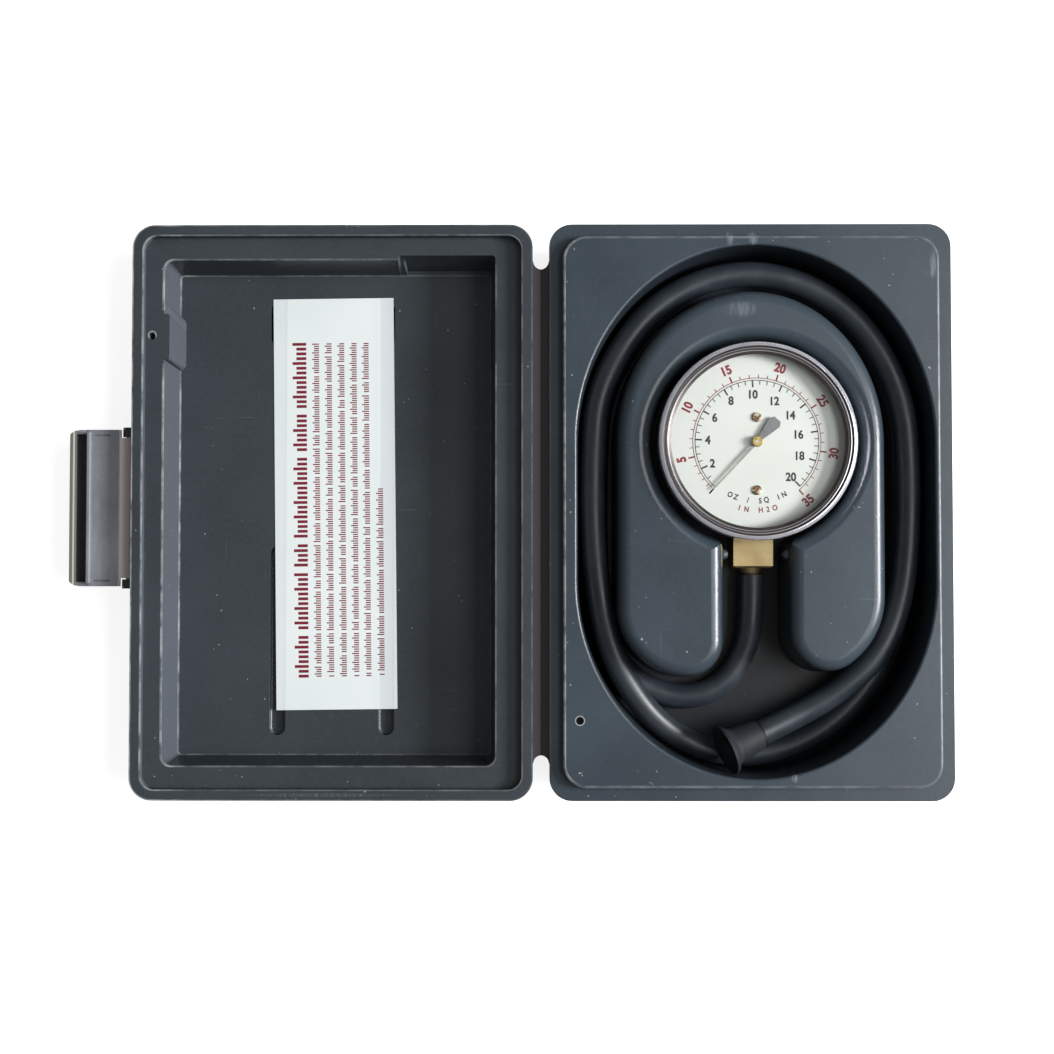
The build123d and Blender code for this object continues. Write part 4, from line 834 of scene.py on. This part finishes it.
black = bmesh.new()
add_arc(black, ZERO_AT, black_angle(BLACK_END), BLACK_ARC, FINE_LINE)
for half in range(2 * BLACK_END + 1):
    value = half / 2
    if value < 2 and half % 2:
        continue
    major = half % 4 == 0
    length = BLACK_TICKS[0] if major else BLACK_TICKS[1]
    width = HEAVY_LINE if major else BLACK_LINE
    add_bar(black, black_angle(value), BLACK_ARC - length, BLACK_ARC, width)
add_bar(black, ZERO_AT, BLACK_ARC, BLACK_ARC + ZERO_MARK, ZERO_LINE)
for value, radius in BLACK_NUMBER_RADII.items():
    spot = GAUGE + ray(black_angle(value)) * radius * MM
    add_text(black, str(value), spot, 0.0, BLACK_NUMBER, NUMBER_SQUEEZE, BLACK_BOLD)
add_arc_text(black, "OZ / SQ IN", BLACK_SIGNS_RADIUS, BLACK_SIGNS_SPAN)
finish_print(black, "dial_black_print", black_ink, "base")

red = bmesh.new()
add_arc(red, RED_START, red_angle(RED_END), RED_ARC, FINE_LINE)
for value in range(RED_END + 1):
    major = value % 5 == 0
    length = RED_TICKS[0] if major else RED_TICKS[1]
    width = HEAVY_LINE if major else RED_LINE
    add_bar(red, red_angle(value), RED_ARC, RED_ARC + length, width)
for value in range(5, RED_END + 1, 5):
    at = red_angle(value)
    spot = GAUGE + ray(at) * RED_NUMBER_RADIUS * MM
    turn = math.radians(180.0 - at) if value < 30 else math.radians(-at)
    add_text(red, str(value), spot, turn, RED_NUMBER, NUMBER_SQUEEZE, RED_BOLD)
add_arc_text(red, "IN H2O", RED_SIGNS_RADIUS, RED_SIGNS_SPAN)
finish_print(red, "dial_red_print", red_ink, "base")


# Label print, plain strokes in rows of uneven groups

LABEL_TURN = Matrix.Translation(LABEL_CENTRE) @ Matrix.Rotation(LABEL_TILT, 4, "Z")
TITLE_ROW = -12.6
ROWS = (-6.7, -2.1, 2.5, 7.0, 11.4)
SHORT_ROW = 16.2
SHORT_ROW_TOP = 5.0
ROW_TOP = 58.2
ROW_END = -62.7
GROUPS = (14, 8, 17, 5, 12, 20, 9, 15, 4, 18)
HEIGHTS = (1.0, 0.72, 0.72, 0.72, 1.0, 0.72, 0.72)
TITLE_SIZE = (5.0, 1.05, 1.75)
ROW_SIZE = (2.5, 0.42, 0.8)


def add_stroke(work, row, along, height, width):
    """One printed stroke across its row; the rows run down the label, their feet at +X."""
    corners = []
    for x, y in ((-1, -1), (1, -1), (1, 1), (-1, 1)):
        spot = Vector(((row + x * height / 2) * MM, (along + y * width / 2) * MM, INK))
        corners.append(work.verts.new(LABEL_TURN @ spot))
    work.faces.new(corners)


def add_row(work, row, start, size, first_group):
    """Strokes from start down to the row's end, in uneven groups with a wider gap after each."""
    height, width, pitch = size
    along = start
    group = first_group
    count = 0
    while along > ROW_END:
        short = height * HEIGHTS[(count + group) % len(HEIGHTS)]
        add_stroke(work, row + (height - short) / 2, along, short, width)
        along -= pitch
        count += 1
        if count == GROUPS[group % len(GROUPS)]:
            along -= pitch
            group += 1
            count = 0


crimson = printed("label_red_ink", rgb(116, 12, 36), rgb(146, 40, 60))
rows = bmesh.new()
add_row(rows, TITLE_ROW, ROW_TOP, TITLE_SIZE, 0)
for index, row in enumerate(ROWS):
    add_row(rows, row, ROW_TOP, ROW_SIZE, 3 * index)
add_row(rows, SHORT_ROW, SHORT_ROW_TOP, ROW_SIZE, 2)
finish_print(rows, "label_strokes", crimson, "lid")


# The fold of the moulded hinge, one thin web between the two leaves

FOLD_Z = HINGE.z - 1.85 * MM
FOLD_RADIUS = 0.3 * MM
FOLD_LENGTH = 170.6 * MM

fold_mesh = bmesh.new()
bmesh.ops.create_cone(
    fold_mesh,
    cap_ends=True,
    segments=16,
    radius1=FOLD_RADIUS,
    radius2=FOLD_RADIUS,
    depth=FOLD_LENGTH,
    matrix=Matrix.Translation((HINGE.x, 0.0, FOLD_Z)) @ Matrix.Rotation(math.pi / 2, 4, "X"),
)
finish_print(fold_mesh, "hinge_fold", nodes["base_shell"].data.materials[0], "base")


# Floor and light

FLOOR_REACH = 6
FLOOR_GLOW = 0.8
SKY_LIGHT = 0.21


def plain(name, colour, glow):
    """A pale surface that shows white to the camera and in reflections, and keeps its shadow."""
    paint = Paint(name)
    paint.set(Base_Color=colour, Roughness=0.9)
    path = paint.add("ShaderNodeLightPath")
    seen = paint.math("MAXIMUM", path.outputs["Is Camera Ray"], path.outputs["Is Glossy Ray"])
    seen = paint.math("MAXIMUM", seen, path.outputs["Is Transmission Ray"])
    paint.set(Emission_Color=(1.0, 1.0, 1.0, 1.0), Emission_Strength=paint.math("MULTIPLY", seen, glow))
    return paint.material


floor_mesh = bpy.data.meshes.new("floor")
floor_corners = [(x * FLOOR_REACH, y * FLOOR_REACH, 0) for x, y in ((-1, -1), (1, -1), (1, 1), (-1, 1))]
floor_mesh.from_pydata(floor_corners, [], [(0, 1, 2, 3)])
floor = bpy.data.objects.new("floor", floor_mesh)
floor_mesh.materials.append(plain("floor_white", (0.86, 0.86, 0.86, 1.0), FLOOR_GLOW))
scene.collection.objects.link(floor)

world = bpy.data.worlds.new("studio")
scene.world = world
world.use_nodes = True
sky = world.node_tree
background = sky.nodes["Background"]
path = sky.nodes.new("ShaderNodeLightPath")
seen = sky.nodes.new("ShaderNodeMapRange")
sky.links.new(path.outputs["Is Camera Ray"], seen.inputs["Value"])
seen.inputs["To Min"].default_value = SKY_LIGHT
seen.inputs["To Max"].default_value = 1.0
background.inputs["Color"].default_value = (1.0, 1.0, 1.0, 1.0)
sky.links.new(seen.outputs["Result"], background.inputs["Strength"])


def lamp(name, place, aim, width, height, power):
    """Adds a soft rectangular lamp that faces a point."""
    data = bpy.data.lights.new(name, "AREA")
    data.shape = "RECTANGLE"
    data.size = width
    data.size_y = height
    data.energy = power
    light = bpy.data.objects.new(name, data)
    scene.collection.objects.link(light)
    light.location = place
    light.rotation_euler = (Vector(aim) - Vector(place)).to_track_quat("-Z", "Y").to_euler()


lamp("key", place=(1.45, 0.02, 0.96), aim=(-0.05, 0.0, 0.0), width=0.55, height=0.55, power=45.5)
lamp("sheen", place=(0.62, 0.0, 1.25), aim=(0.0, 0.0, 0.0), width=0.9, height=0.45, power=6.0)
